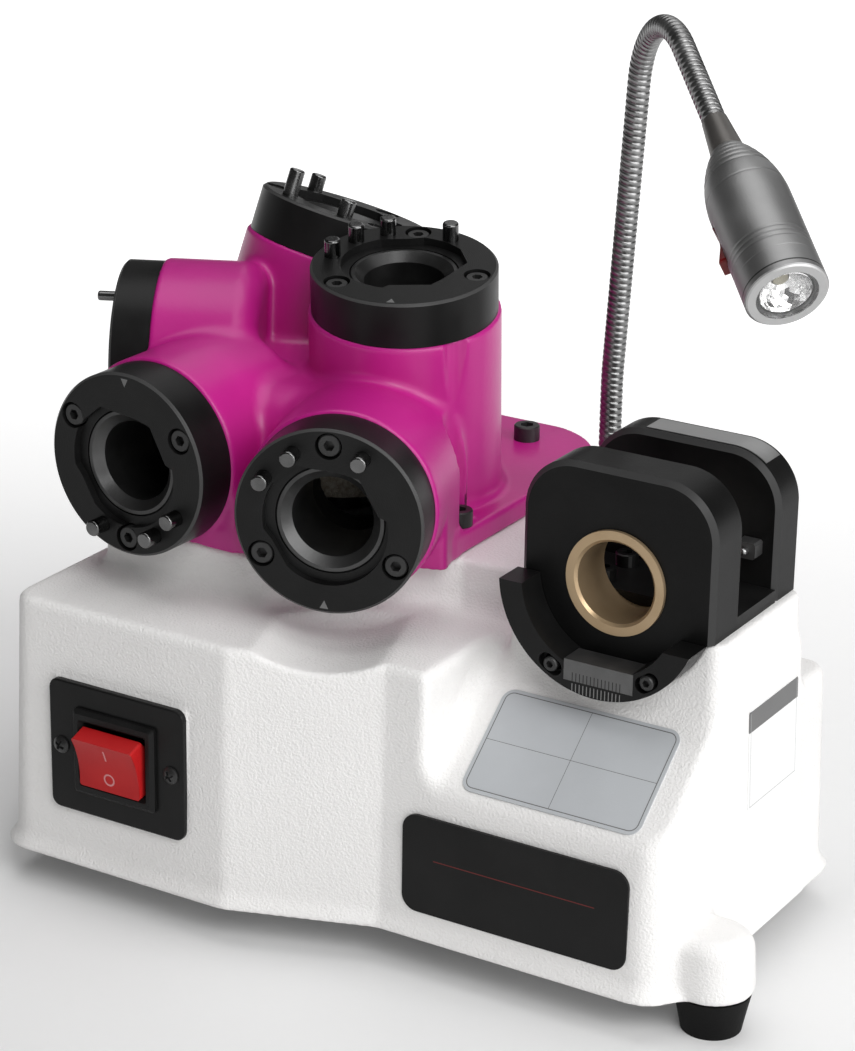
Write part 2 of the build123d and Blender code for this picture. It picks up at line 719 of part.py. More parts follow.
def make_hub():
    """The hub that the wheel is clamped against."""
    hub = drum(HUB_FLANGE_R, WHEEL_LOW_Z - HUB_FLANGE_T, WHEEL_LOW_Z)
    hub += drum(HUB_R, WHEEL_LOW_Z, WHEEL_LOW_Z + WHEEL_T - 0.5)
    return hub - drum(SHAFT_R + CLEAR, 0, 200)


def make_wheel_core():
    """The steel body of the wheel."""
    return drum(CORE_R, WHEEL_LOW_Z, WHEEL_LOW_Z + WHEEL_T) - drum(HUB_R + CLEAR, 0, 200)


def make_abrasive():
    """The abrasive rim of the wheel."""
    return drum(WHEEL_R, WHEEL_LOW_Z, WHEEL_LOW_Z + WHEEL_T) - drum(CORE_R + CLEAR, 0, 200)


def make_wheel_nut():
    """The nut and its washer face."""
    low = WHEEL_LOW_Z + WHEEL_T
    nut = at(0, 0, low + 1) * extrude(RegularPolygon(NUT_FLATS / 2, 6, major_radius=False), NUT_H - 1)
    nut += drum(HUB_R + 4, low, low + 1)
    return nut - drum(SHAFT_R + CLEAR, 0, 200)


def make_capacitor():
    """The motor's run capacitor, clipped to the floor of the base."""
    x, y, z = CAP_PLACE
    can = Plane.YZ * Cylinder(CAP_R, CAP_L)
    can = fillet(can.edges().filter_by(GeomType.CIRCLE), 1.5)
    saddle = block(-8, 8, -CAP_R, CAP_R, BASE_Z + PLATE_T - z, 0)
    return at(x, y, z) * (can + saddle)


# Head

def nozzle(name):
    """The nozzle behind a port ring."""
    port = PORTS[name]
    return PORT_PLANES[name] * (at(0, 0, -port.ring_t) * Cylinder(NOZZLE_R, port.nozzle_l, align=TOP))


def skirt(name):
    """The wall that carries a level nozzle down to the foot."""
    port = PORTS[name]
    drop = port.face[2] - SEAT_Z
    box = Box(2 * NOZZLE_R, drop, SKIRT_L, align=(Align.CENTER, Align.MAX, Align.MAX))
    return PORT_PLANES[name] * (at(0, 0, -port.ring_t - SKIRT_STARTS[name]) * box)


def make_head_casting():
    """The hollow head with five nozzles on a foot."""
    foot_points = [
        (HEAD_LEFT_X, HEAD_FRONT_Y),
        (SEAT_FACET_START_X, HEAD_FRONT_Y),
        (HEAD_RIGHT_X, HEAD_FACET_END_Y),
        (HEAD_RIGHT_X, HEAD_REAR_Y),
        (HEAD_LEFT_X, HEAD_REAR_Y),
    ]
    face = make_face(Polyline(*foot_points, close=True))
    rear_right = face.vertices().sort_by_distance(Vector(HEAD_RIGHT_X, HEAD_REAR_Y))[0]
    face = fillet(rear_right, HEAD_REAR_CORNER_R)
    rear_left = face.vertices().sort_by_distance(Vector(HEAD_LEFT_X, HEAD_REAR_Y))[0]
    face = fillet(rear_left, HEAD_REAR_CORNER_R / 2)
    body = prism(face, SEAT_Z, SEAT_Z + HEAD_FOOT_T)
    core = drum(HEAD_BODY_R, SEAT_Z, HEAD_BODY_TOP_Z)
    body += fillet(core.edges().filter_by(GeomType.CIRCLE).sort_by(Axis.Z)[-1], 14)
    body += [nozzle(name) for name in PORTS]
    body += [skirt(name) for name in SKIRT_STARTS]
    body -= block(-150, 150, -150, 150, SEAT_Z - 60, SEAT_Z)
    body -= drum(HEAD_CAVITY_R, SEAT_Z - 1, HEAD_CAVITY_TOP_Z)
    for name, plane in PORT_PLANES.items():
        body -= plane * port_room(PORTS[name])
    for x, y in HEAD_SCREW_PLACES:
        body -= drum(M5[2] + GAP, SEAT_Z - 1, SEAT_Z + HEAD_FOOT_T + 1, x, y)
        body -= drum(M5[0] + 1.2, SEAT_Z + HEAD_FOOT_T, SEAT_Z + HEAD_FOOT_T + HEAD_SCREW_ROOM, x, y)
    return body


def port_room(port):
    """What a port takes out of the casting: ring seat, sleeve bore, passage and threads."""
    room = at(0, 0, -port.ring_t) * Cylinder(RING_R + 1.2, 40, align=BOTTOM)
    room += Cylinder(SLEEVE_R + CLEAR, SLEEVE_END + CLEAR, align=TOP)
    passage = min(PASSAGE_L, port.nozzle_l - PASSAGE_SHORT)
    room += Cylinder(PORT_PASSAGE_R, port.ring_t + passage, align=TOP)
    for angle in port.screws:
        x, y = round_place(SCREW_PCR, angle)
        room += at(x, y, -port.ring_t) * Cylinder(M4[2] + CLEAR, SCREW_GRIP + HOLE_EXTRA, align=TOP)
    return room


def pocket_face():
    """The cam pocket: a round recess with two flats, a stop on its right and a wider left part."""
    start = round_place(POCKET_R - 1.6, 7)
    middle = round_place(POCKET_R, -60)
    end = round_place(POCKET_R, -130)
    left_start = round_place(POCKET_WIDE_R, -169)
    left_middle = round_place(POCKET_WIDE_R, 170)
    left_end = round_place(POCKET_WIDE_R, 149)
    path = [
        ThreePointArc(start, middle, end),
        Polyline(end, (-17.0, -7.2), left_start),
        ThreePointArc(left_start, left_middle, left_end),
        Polyline(left_end, (-9.7, 16.7), (4.2, 15.4), (9.3, 14.2), (15.2, 3.2), start),
    ]
    return make_face([edge for piece in path for edge in piece.edges()])


def make_port_ring(port):
    """A port ring: cam pocket over the sleeve's seat, screw counterbores, pin holes and a broken edge."""
    ring = Cylinder(RING_R, port.ring_t, align=TOP)
    rim = ring.edges().filter_by(GeomType.CIRCLE).sort_by(Axis.Z)[-1]
    ring = chamfer(rim, RING_EDGE)
    ring -= Rotation(0, 0, port.turn) * extrude(at(0, 0, 1) * pocket_face(), -POCKET_DEPTH - 1)
    ring -= at(0, 0, -POCKET_DEPTH) * Cylinder(SLEEVE_R + CLEAR, RING_T, align=TOP)
    for angle in port.screws:
        x, y = round_place(SCREW_PCR, angle)
        ring -= at(x, y, 0) * Cylinder(M4[2] + CLEAR, 3 * RING_T)
        ring -= at(x, y, 0) * Cylinder(M4[0] + 0.6, -2 * SCREW_SINK)
    for angle, (radius, _) in port.pins.items():
        x, y = round_place(PIN_PCR, angle)
        ring -= at(x, y, 0) * Cylinder(radius + CLEAR, 2 * PIN_IN)
    return ring


def make_sleeve():
    """A bored sleeve with a wide lead-in, from under the pocket's floor into the nozzle."""
    start = -POCKET_DEPTH - CLEAR
    sleeve = at(0, 0, start) * Cylinder(SLEEVE_R, SLEEVE_END + start, align=TOP)
    sleeve = chamfer(sleeve.edges().filter_by(GeomType.CIRCLE).sort_by(Axis.Z)[-1], SLEEVE_EDGE)
    sleeve -= Cylinder(BORE_R, 200)
    return sleeve - at(0, 0, start) * Cone(BORE_R, BORE_R + BORE_LEAD, BORE_LEAD, align=TOP)


def make_pin(radius, out):
    """A dowel with a rounded tip."""
    pin = Cylinder(radius, out, align=BOTTOM) + Cylinder(radius, PIN_IN, align=TOP)
    tip = pin.edges().filter_by(GeomType.CIRCLE).sort_by(Axis.Z)[-1]
    return fillet(tip, 0.7)


def port_screws():
    """The three sunk screws of every port ring."""
    return Compound(children=[
        PORT_PLANES[name] * (at(*round_place(SCREW_PCR, angle), SCREW_SINK)
                             * socket_screw(M4, port.ring_t + SCREW_SINK + SCREW_GRIP))
        for name, port in PORTS.items()
        for angle in port.screws
    ])


def stop_pins():
    """The stop pins of every port ring."""
    return Compound(children=[
        PORT_PLANES[name] * (at(*round_place(PIN_PCR, angle), 0) * make_pin(*size))
        for name, port in PORTS.items()
        for angle, size in port.pins.items()
    ])


# Setting gauge

def gauge_face(top):
    """The front outline of a gauge plate: two large round upper corners."""
    half = GAUGE_W / 2
    plate = block(GAUGE_X - half, GAUGE_X + half, 0, 1, SEAT_Z, top)
    upper = plate.edges().filter_by(Axis.Y).group_by(Axis.Z)[-1]
    return fillet(upper, GAUGE_CORNER_R).faces().sort_by(Axis.Y)[0]


def y_drum(radius, y0, y1, x=GAUGE_X, z=GAUGE_Z):
    """A cylinder along Y."""
    cylinder = Cylinder(radius, y1 - y0, align=BOTTOM)
    return at(x, y1, z) * Rotation(90, 0, 0) * cylinder


def gauge_screw_places():
    """The gauge's four screws into the seat."""
    return [(GAUGE_X + dx, y) for dx in (-GAUGE_SCREW_X, GAUGE_SCREW_X) for y in (-26, -12)]


def make_gauge_front_plate():
    """The plate that holds the bush, with a tongue hanging in front of the seat."""
    front = GAUGE_FRONT_Y
    back = front + GAUGE_FRONT_T
    plate = at(0, front, 0) * extrude(gauge_face(GAUGE_TOP_Z), GAUGE_FRONT_T, dir=(0, 1, 0))
    tongue = y_drum(TONGUE_R, front, back)
    plate += tongue & block(0, 200, -100, 100, 0, SEAT_Z + 1)
    outer = plate.faces().sort_by(Axis.Y)[0].outer_wire().edges()
    plate = chamfer(outer.filter_by(lambda e: e.center().Z > SEAT_Z), GAUGE_BEVEL)
    plate -= y_drum(BUSH_R + CLEAR, front - 5, back + 5)
    for angle in CRADLE_SCREW_ANGLES:
        dx, dz = round_place(CRADLE_SCREW_R, angle)
        plate -= y_drum(M2_5[2] + CLEAR, front - 1, front + SHORT_GRIP + HOLE_EXTRA, GAUGE_X + dx, GAUGE_Z + dz)
    return plate


def make_gauge_rear_plate():
    """The plain rear plate."""
    back = GAUGE_REAR_Y + GAUGE_REAR_T
    face = gauge_face(GAUGE_TOP_Z - GAUGE_REAR_DROP)
    plate = at(0, GAUGE_REAR_Y, 0) * extrude(face, GAUGE_REAR_T, dir=(0, 1, 0))
    outer = plate.faces().sort_by(Axis.Y)[0].outer_wire().edges()
    plate = chamfer(outer.filter_by(lambda e: e.center().Z > SEAT_Z + 1), GAUGE_BEVEL)
    return plate - y_drum(FINGER_R + CLEAR, GAUGE_REAR_Y - 1, back + 1, FINGER_X, FINGER_Z)


def make_gauge_floor():
    """The floor between the two plates."""
    half = GAUGE_W / 2
    floor = block(GAUGE_X - half, GAUGE_X + half, GAUGE_FRONT_Y + GAUGE_FRONT_T, GAUGE_REAR_Y,
                  SEAT_Z, SEAT_Z + GAUGE_FLOOR_T)
    for x, y in gauge_screw_places():
        floor -= drum(M4[2] + CLEAR, SEAT_Z - 1, SEAT_Z + 20, x, y)
    return floor


def make_gauge_bush():
    """The bronze bush with a lead-in at its front."""
    front = GAUGE_FRONT_Y - BUSH_OUT
    back = GAUGE_FRONT_Y + GAUGE_FRONT_T
    bush = y_drum(BUSH_R, front, back)
    bush -= y_drum(BORE_R, front - 1, back + 1)
    inner = bush.edges().filter_by(GeomType.CIRCLE).sort_by(Axis.Y)[:2].sort_by(SortBy.RADIUS)[0]
    return chamfer(inner, 0.8)


CRADLE_BACK_Y = GAUGE_FRONT_Y - GAP
CRADLE_FRONT_Y = CRADLE_BACK_Y - CRADLE_T


def make_cradle():
    """A C-shaped cradle around the bush, open above, with stepped arc slots and a notch for its scale."""
    ring = y_drum(CRADLE_R, CRADLE_FRONT_Y, CRADLE_BACK_Y)
    ring -= y_drum(CRADLE_INNER_R, CRADLE_FRONT_Y - 1, CRADLE_BACK_Y + 1)
    ring -= block(0, GAUGE_X, -100, 0, CRADLE_LEFT_Z, 200)
    ring -= block(GAUGE_X, 300, -100, 0, CRADLE_RIGHT_Z, 200)
    ring -= scale_block(CLEAR)
    for angle in CRADLE_SCREW_ANGLES:
        steps = [angle + turn for turn in (-CRADLE_SWING - 0.4, 0, CRADLE_SWING + 0.4)]
        start, middle, end = [round_place(CRADLE_SCREW_R, a) for a in steps]
        arc = ThreePointArc(start, middle, end)
        for radius, back in ((M2_5[2], CRADLE_BACK_Y + 1), (M2_5[0], CRADLE_FRONT_Y + CRADLE_SINK)):
            slot = make_face(offset(arc, radius + GAP, side=Side.BOTH).edges())
            cutter = at(GAUGE_X, back, GAUGE_Z) * (Plane.XZ * slot)
            ring -= extrude(cutter, CRADLE_T + 3, dir=(0, -1, 0))
    return ring


def scale_block(grow=0.0):
    """The steel scale let into the bottom of the cradle."""
    half = SCALE_W / 2 + grow
    return block(SCALE_X - half, SCALE_X + half, CRADLE_FRONT_Y, CRADLE_FRONT_Y + SCALE_DEPTH + grow,
                 SCALE_LOW_Z - grow, SCALE_TOP_Z)


def make_cradle_screws():
    """The two screws that clamp the cradle, their heads sunk in its slots."""
    places = []
    for angle in CRADLE_SCREW_ANGLES:
        dx, dz = round_place(CRADLE_SCREW_R, angle)
        places.append((GAUGE_X + dx, GAUGE_Z + dz))
    length = CRADLE_T - CRADLE_SINK + 2 * GAP + SHORT_GRIP
    return wall_screws(M2_5, places, CRADLE_FRONT_Y + CRADLE_SINK - GAP, length, 90)


def make_finger_block():
    """The block on the rear plate that carries the flute finger."""
    half_w = FINGER_BLOCK_W / 2
    half_h = FINGER_BLOCK_H / 2
    body = block(FINGER_X - half_w, FINGER_X + half_w, GAUGE_REAR_Y - FINGER_BLOCK_L, GAUGE_REAR_Y,
                 FINGER_Z - half_h, FINGER_Z + half_h)
    body = chamfer(body.edges().filter_by(Axis.Y), 0.6)
    return body - y_drum(FINGER_R + CLEAR, -100, 100, FINGER_X, FINGER_Z)


def make_flute_finger():
    """A steel pin through the block, with a round end that a flute rests on."""
    front = GAUGE_REAR_Y - FINGER_BLOCK_L - FINGER_OUT
    pin = y_drum(FINGER_R, front, GAUGE_REAR_Y + GAUGE_REAR_T - 1, FINGER_X, FINGER_Z)
    tip = pin.edges().filter_by(GeomType.CIRCLE).sort_by(Axis.Y)[0]
    return fillet(tip, 0.9 * FINGER_R)


# Lamp

LAMP_SIDE = heading(LAMP_HEADING, 0)
LAMP_NORMAL = heading(LAMP_HEADING - 90, 0)


def lamp_point(s, z):
    """A point of the lamp's plane: a distance along its heading and a height over the seat."""
    return Vector(LAMP_ROOT[0], LAMP_ROOT[1], SEAT_Z + z) + LAMP_SIDE * s


def lamp_dir(angle):
    """A direction in the lamp's plane, as an angle above level."""
    return heading(LAMP_HEADING, angle)


NECK_UP = 90.0 - LAMP_LEAN
NECK_FOOT = lamp_point(0, FERRULE_H + GAP)
LEAN_START = lamp_point(0, FERRULE_H + GAP + NECK_RISE_L)
LEAN_CENTRE = LEAN_START + lamp_dir(0) * NECK_LEAN_R
LEAN_END = LEAN_CENTRE + lamp_dir(180 - LAMP_LEAN) * NECK_LEAN_R
LEAN_L = math.radians(LAMP_LEAN) * NECK_LEAN_R
PIVOT_1 = LEAN_END + lamp_dir(NECK_UP) * NECK_SLANT_L
NECK_LOWER_L = NECK_RISE_L + LEAN_L + NECK_SLANT_L
ARC_START = PIVOT_1 + lamp_dir(NECK_UP) * NECK_STRAIGHT
ARC_CENTRE = ARC_START + lamp_dir(NECK_UP - 90) * NECK_BEND_R
ARC_TURN = NECK_UP + LAMP_DROOP
ARC_L = math.radians(ARC_TURN) * NECK_BEND_R
ARC_END = ARC_CENTRE + lamp_dir(90 - LAMP_DROOP) * NECK_BEND_R
PIVOT_2 = ARC_END + lamp_dir(-LAMP_DROOP) * NECK_STRAIGHT
NECK_BEND_L = ARC_L + 2 * NECK_STRAIGHT
SLEEVE_START = PIVOT_2 + lamp_dir(-LAMP_DROOP) * NECK_UPPER_L
LAMP_START = SLEEVE_START + lamp_dir(-LAMP_DROOP) * LAMP_SLEEVE_L
LAMP_OVER = lamp_dir(-LAMP_DROOP).cross(LAMP_NORMAL)
SWITCH_TURN = math.radians(LAMP_SWITCH_TURN)
SWITCH_SIDE = LAMP_NORMAL * math.cos(SWITCH_TURN) + LAMP_OVER * math.sin(SWITCH_TURN)
LAMP_PLANE = Plane(origin=LAMP_START, x_dir=SWITCH_SIDE, z_dir=lamp_dir(-LAMP_DROOP))


def turning_place(start, straight, angle, radius, turn):
    """Places along a path that runs straight, turns downwards in an arc and runs straight again."""
    centre = start + lamp_dir(angle) * straight + lamp_dir(angle - 90) * radius
    arc = math.radians(turn) * radius

    def place(length):
        turned = math.degrees(min(max(length - straight, 0), arc) / radius)
        point = centre + lamp_dir(angle - turned + 90) * radius
        rest = min(length - straight, 0) + max(length - straight - arc, 0)
        return point + lamp_dir(angle - turned) * rest, angle - turned

    return place


lower_place = turning_place(NECK_FOOT, NECK_RISE_L, 90, NECK_LEAN_R, LAMP_LEAN)
bend_place = turning_place(PIVOT_1, NECK_STRAIGHT, NECK_UP, NECK_BEND_R, ARC_TURN)


def upper_place(length):
    """Places along the last, straight stretch."""
    return PIVOT_2 + lamp_dir(-LAMP_DROOP) * length, -LAMP_DROOP


def square_plane(place, length):
    """The plane square to a path at a length along it."""
    point, angle = place(length)
    return Plane(origin=point, x_dir=LAMP_NORMAL, z_dir=lamp_dir(angle))


def rib_steps(start, end):
    """Lengths and radii along a ribbed tube: each rib is a flat root, a rise, a flat crest and a fall."""
    count = round((end - start) / RIB_PITCH)
    pitch = (end - start) / count
    rib = ((0.0, NECK_ROOT_R), (0.25, NECK_ROOT_R), (0.45, NECK_R), (0.8, NECK_R))
    steps = [(start + (number + part) * pitch, radius) for number in range(count) for part, radius in rib]
    return steps + [(end, NECK_ROOT_R)]


def ribbed(place, start, end):
    """A ribbed tube along a path."""
    return loft([square_plane(place, s) * Circle(radius) for s, radius in rib_steps(start, end)], ruled=True)


def ball(centre):
    """The round end that the next stretch of gooseneck bends about."""
    return Location(centre) * Sphere(NECK_ROOT_R)


def socket(centre):
    """The hollow that the next stretch keeps clear around that round end."""
    return Location(centre) * Sphere(NECK_ROOT_R + GAP)


def straight_bore(place, start, end):
    """The wire's passage along a straight stretch."""
    return square_plane(place, start) * Cylinder(NECK_BORE_R, end - start, align=BOTTOM)


def turning_bore(place, straight, turn_length):
    """The wire's passage round an arc."""
    ends = [place(straight + part * turn_length)[0] for part in (0, 0.5, 1)]
    path = Edge.make_three_point_arc(*ends)
    return sweep(square_plane(place, straight) * Circle(NECK_BORE_R), path=path)


def make_neck_lower():
    """The gooseneck's upright stretch, with a spigot in the ferrule and a round upper end."""
    body = ribbed(lower_place, 0, NECK_LOWER_L)
    body += square_plane(lower_place, -SPIGOT_L) * Cylinder(SPIGOT_R, SPIGOT_L + 1, align=BOTTOM)
    body += ball(PIVOT_1)
    body -= straight_bore(lower_place, -SPIGOT_L - 1, NECK_RISE_L)
    body -= turning_bore(lower_place, NECK_RISE_L, LEAN_L)
    return body - straight_bore(lower_place, NECK_RISE_L + LEAN_L, NECK_LOWER_L + 5)


def make_neck_bend():
    """The gooseneck's bent stretch, hollow at its start and round at its end."""
    body = ribbed(bend_place, NECK_START_GAP, NECK_BEND_L)
    body += ball(PIVOT_2)
    body -= straight_bore(bend_place, 0, NECK_STRAIGHT)
    body -= turning_bore(bend_place, NECK_STRAIGHT, ARC_L)
    body -= straight_bore(bend_place, NECK_STRAIGHT + ARC_L, NECK_BEND_L + 5)
    return body - socket(PIVOT_1)


def make_neck_upper():
    """The gooseneck's last stretch, into the lamp's sleeve."""
    outline = [(radius, s) for s, radius in rib_steps(NECK_START_GAP, NECK_UPPER_L)]
    outline = [(NECK_BORE_R, NECK_START_GAP), *outline, (NECK_BORE_R, NECK_UPPER_L)]
    body = revolve(Plane.XZ * make_face(Polyline(*outline, close=True)), Axis.Z)
    return square_plane(upper_place, 0) * (body - Sphere(NECK_ROOT_R + GAP))


def make_ferrule():
    """The turned ferrule that is let into the seat and carries the gooseneck."""
    x, y = LAMP_ROOT
    body = drum(FERRULE_R, SEAT_Z, SEAT_Z + FERRULE_H - 3, x, y)
    body += drum(FERRULE_STEM_R, SEAT_Z - FERRULE_STEM_L, SEAT_Z + FERRULE_H, x, y)
    body -= drum(SPIGOT_R + CLEAR, SEAT_Z + FERRULE_H - SPIGOT_L - 1, SEAT_Z + 40, x, y)
    return body - drum(NECK_BORE_R, SEAT_Z - 20, SEAT_Z + 40, x, y)


def make_lamp_sleeve():
    """The smooth dark sleeve that widens from the gooseneck to the lamp."""
    plane = Plane(origin=SLEEVE_START, x_dir=LAMP_NORMAL, z_dir=lamp_dir(-LAMP_DROOP))
    body = Cone(LAMP_SLEEVE_START_R, LAMP_NECK_R, LAMP_SLEEVE_L, align=BOTTOM)
    return plane * (body - Cylinder(NECK_BORE_R, 100))


def make_lamp_housing():
    """The turned lamp body: a domed shoulder, a hollow barrel and the switch's opening with its axle."""
    dome = TangentArc((LAMP_R, LAMP_SHOULDER_L), (LAMP_NECK_R, 0), tangent=(0, -1))
    rest = Polyline((LAMP_NECK_R, 0), (0, 0), (0, LAMP_L), (LAMP_R, LAMP_L), (LAMP_R, LAMP_SHOULDER_L))
    body = revolve(Plane.XZ * make_face([dome, rest]), Axis.Z)
    body -= at(0, 0, LAMP_SHOULDER_L) * Cylinder(LAMP_R - LAMP_WALL, LAMP_L, align=BOTTOM)
    body -= Cylinder(NECK_BORE_R, 100)
    opening = Box(4 * LAMP_WALL, LAMP_ROCKER_W + 2 * GAP, LAMP_ROCKER_L + 2 * GAP)
    body -= at(LAMP_R, 0, LAMP_ROCKER_AT) * opening
    axle = Plane.XZ * Cylinder(LAMP_AXLE_R, LAMP_ROCKER_W + LAMP_WALL)
    return LAMP_PLANE * (body + at(LAMP_R - LAMP_AXLE_IN, 0, LAMP_ROCKER_AT) * axle)


def make_lamp_bezel():
    """The lighter ring around the lens."""
    body = Cylinder(LAMP_R, LAMP_BEZEL_L, align=BOTTOM)
    body = chamfer(body.edges().filter_by(GeomType.CIRCLE).sort_by(Axis.Z)[-1], 0.7)
    body -= Cylinder(LENS_R - 0.8, 60)
    body -= at(0, 0, LAMP_BEZEL_L - LENS_T) * Cylinder(LENS_R + CLEAR, 20, align=BOTTOM)
    return LAMP_PLANE * (at(0, 0, LAMP_L) * body)


def make_lamp_lens():
    """The clear window."""
    lens = Cylinder(LENS_R, LENS_T, align=TOP)
    return LAMP_PLANE * (at(0, 0, LAMP_L + LAMP_BEZEL_L) * lens)


def make_lamp_reflector():
    """The cone behind the window."""
    height = LAMP_BEZEL_L - LENS_T - 0.4
    outer = LENS_R - 1.0
    cup = Cone(3.4, outer, height, align=BOTTOM) - Cone(2.6, outer - 0.8, height, align=BOTTOM)
    return LAMP_PLANE * (at(0, 0, LAMP_L + 0.2) * cup)


def make_lamp_led():
    """The light source on its board."""
    board = at(0, 0, LAMP_L - 2.4) * Cylinder(LAMP_R - LAMP_WALL - CUTOUT_CLEAR, 2, align=BOTTOM)
    chip = at(0, 0, LAMP_L - 0.4) * Cylinder(2, 1.4, align=BOTTOM)
    return LAMP_PLANE * (board + chip)


def make_lamp_rocker():
    """The small rocker on the lamp's side."""
    half = LAMP_ROCKER_L / 2
    points = [
        (LAMP_ROCKER_OUT, -half),
        (LAMP_ROCKER_OUT / 2, 0),
        (LAMP_ROCKER_OUT, half),
        (-1.2, half - 0.6),
        (-2.6, 1.6),
        (-2.6, -1.6),
        (-1.2, -half + 0.6),
    ]
    face = Plane.XZ * make_face(Polyline(*points, close=True))
    body = at(0, LAMP_ROCKER_W / 2, 0) * extrude(face, LAMP_ROCKER_W, dir=(0, -1, 0))
    body -= Plane.XZ * Cylinder(LAMP_AXLE_R + CLEAR, 40)
    pivot = at(LAMP_R - LAMP_AXLE_IN, 0, LAMP_ROCKER_AT)
    return LAMP_PLANE * (pivot * Rotation(0, LAMP_ROCKER_TIP, 0) * body)


def main():
    """Write every node."""
    os.makedirs("parts", exist_ok=True)
    save("base_housing", make_base_housing())
    save("bottom_plate", make_bottom_plate())
    save("bottom_plate_screws", upward_screws(M4, BOSS_PLACES, BASE_Z, PLATE_T + SCREW_GRIP))
    save("rubber_feet", make_feet())
    foot_screw_l = FOOT_H - FOOT_RECESS_H + SCREW_GRIP
    save("foot_screws", upward_screws(M4, LUG_PLACES, FOOT_RECESS_H, foot_screw_l))
    save("switch_plate", make_switch_plate())
    switch_places = [(SWITCH_X + side * SWITCH_SCREW_X, SWITCH_Z) for side in (-1, 1)]
    switch_screw_l = SWITCH_PLATE_T + WALL_T + HOLE_EXTRA
    save("switch_plate_screws",
         wall_screws(M3, switch_places, FRONT_LEFT_Y - SWITCH_PLATE_T, switch_screw_l, 90))
    save("switch_body", make_switch_body())
    save("switch_rocker", make_switch_rocker())
    save("name_plate", make_name_plate())
    save("console_panel", make_console_panel())
    save("side_panel", make_side_panel())
    save("power_inlet", make_power_inlet())
    save("inlet_blades", make_inlet_blades())
    inlet_places = [(INLET_X + side * INLET_SCREW_X, INLET_Z) for side in (-1, 1)]
    inlet_screw_l = INLET_T + WALL_T + HOLE_EXTRA
    save("power_inlet_screws", wall_screws(M3, inlet_places, REAR_Y + INLET_T, inlet_screw_l, -90))
    save("motor_upper_bell", make_upper_bell())
    save("motor_stator", make_stator())
    save("motor_lower_bell", make_lower_bell())
    motor_screw_l = CAVITY_TOP_Z - MOTOR_LOW_Z + SHORT_GRIP
    save("motor_screws", upward_screws(M4, motor_screw_places(), MOTOR_LOW_Z, motor_screw_l))
    save("upper_bearing", make_bearing(UPPER_BEARING_Z))
    save("lower_bearing", make_bearing(LOWER_BEARING_Z))
    save("motor_rotor", make_rotor())
    save("spindle_shaft", make_shaft())
    save("wheel_hub", make_hub())
    save("wheel_core", make_wheel_core())
    save("abrasive_ring", make_abrasive())
    save("wheel_nut", make_wheel_nut())
    save("run_capacitor", make_capacitor())
    save("head_casting", make_head_casting())
    head_screw_l = HEAD_FOOT_T + SCREW_GRIP
    save("head_screws", downward_screws(M5, HEAD_SCREW_PLACES, SEAT_Z + HEAD_FOOT_T, head_screw_l))
    for name, plane in PORT_PLANES.items():
        save("port_ring_" + name, plane * make_port_ring(PORTS[name]))
    save("port_sleeves", Compound(children=[plane * make_sleeve() for plane in PORT_PLANES.values()]))
    save("port_ring_screws", port_screws())
    save("stop_pins", stop_pins())
    save("gauge_front_plate", make_gauge_front_plate())
    save("gauge_rear_plate", make_gauge_rear_plate())
    save("gauge_floor", make_gauge_floor())
    gauge_screw_l = GAUGE_FLOOR_T + SHORT_GRIP
    save("gauge_screws",
         downward_screws(M4, gauge_screw_places(), SEAT_Z + GAUGE_FLOOR_T, gauge_screw_l))
    save("gauge_bush", make_gauge_bush())
    save("gauge_cradle", make_cradle())
    save("cradle_scale", scale_block())
    save("cradle_screws", make_cradle_screws())
    save("finger_block", make_finger_block())
    save("flute_finger", make_flute_finger())
    save("lamp_ferrule", make_ferrule())
    save("gooseneck_lower", make_neck_lower())
    save("gooseneck_bend", make_neck_bend())
    save("gooseneck_upper", make_neck_upper())
    save("lamp_sleeve", make_lamp_sleeve())
    save("lamp_housing", make_lamp_housing())
    save("lamp_bezel", make_lamp_bezel())
    save("lamp_lens", make_lamp_lens())
    save("lamp_reflector", make_lamp_reflector())
    save("lamp_led", make_lamp_led())
    save("lamp_rocker", make_lamp_rocker())


main()
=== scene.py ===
# %% [markdown]
# An endmill grinder in its looks: a white powder-coated casting, a magenta grinding head with five
# black port rings, a setting gauge with a bronze bush, and a small work lamp on a gooseneck.
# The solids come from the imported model. This lesson keeps the ones whose shape is right, gives them
# finishes, and makes new skins where a casting, a ribbed hose or a turned lamp needs more shape.
# Sizes are in millimetres from the spindle's axis, and one function moves them into the frame.

# %% Load the frame
import bpy
import json
import math
import numpy as np
from mathutils import Matrix, Vector


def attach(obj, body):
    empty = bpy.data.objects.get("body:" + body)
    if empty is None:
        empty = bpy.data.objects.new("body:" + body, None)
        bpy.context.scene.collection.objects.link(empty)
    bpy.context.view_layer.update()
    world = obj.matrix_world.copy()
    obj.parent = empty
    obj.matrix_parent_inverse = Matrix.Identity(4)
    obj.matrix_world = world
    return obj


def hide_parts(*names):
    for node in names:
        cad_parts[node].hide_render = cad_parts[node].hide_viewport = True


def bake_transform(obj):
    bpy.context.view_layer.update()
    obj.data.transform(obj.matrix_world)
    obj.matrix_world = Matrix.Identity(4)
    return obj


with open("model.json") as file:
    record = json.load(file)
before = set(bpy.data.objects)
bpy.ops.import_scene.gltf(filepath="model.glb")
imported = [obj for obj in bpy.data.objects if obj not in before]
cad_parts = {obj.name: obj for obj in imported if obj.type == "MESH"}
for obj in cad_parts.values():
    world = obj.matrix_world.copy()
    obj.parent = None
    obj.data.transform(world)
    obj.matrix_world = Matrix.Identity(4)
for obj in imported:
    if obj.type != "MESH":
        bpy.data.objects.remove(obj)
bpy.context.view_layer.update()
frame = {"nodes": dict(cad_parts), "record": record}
MM = 0.001
MIDDLE = np.array([54.73, 1.8, 0.0])


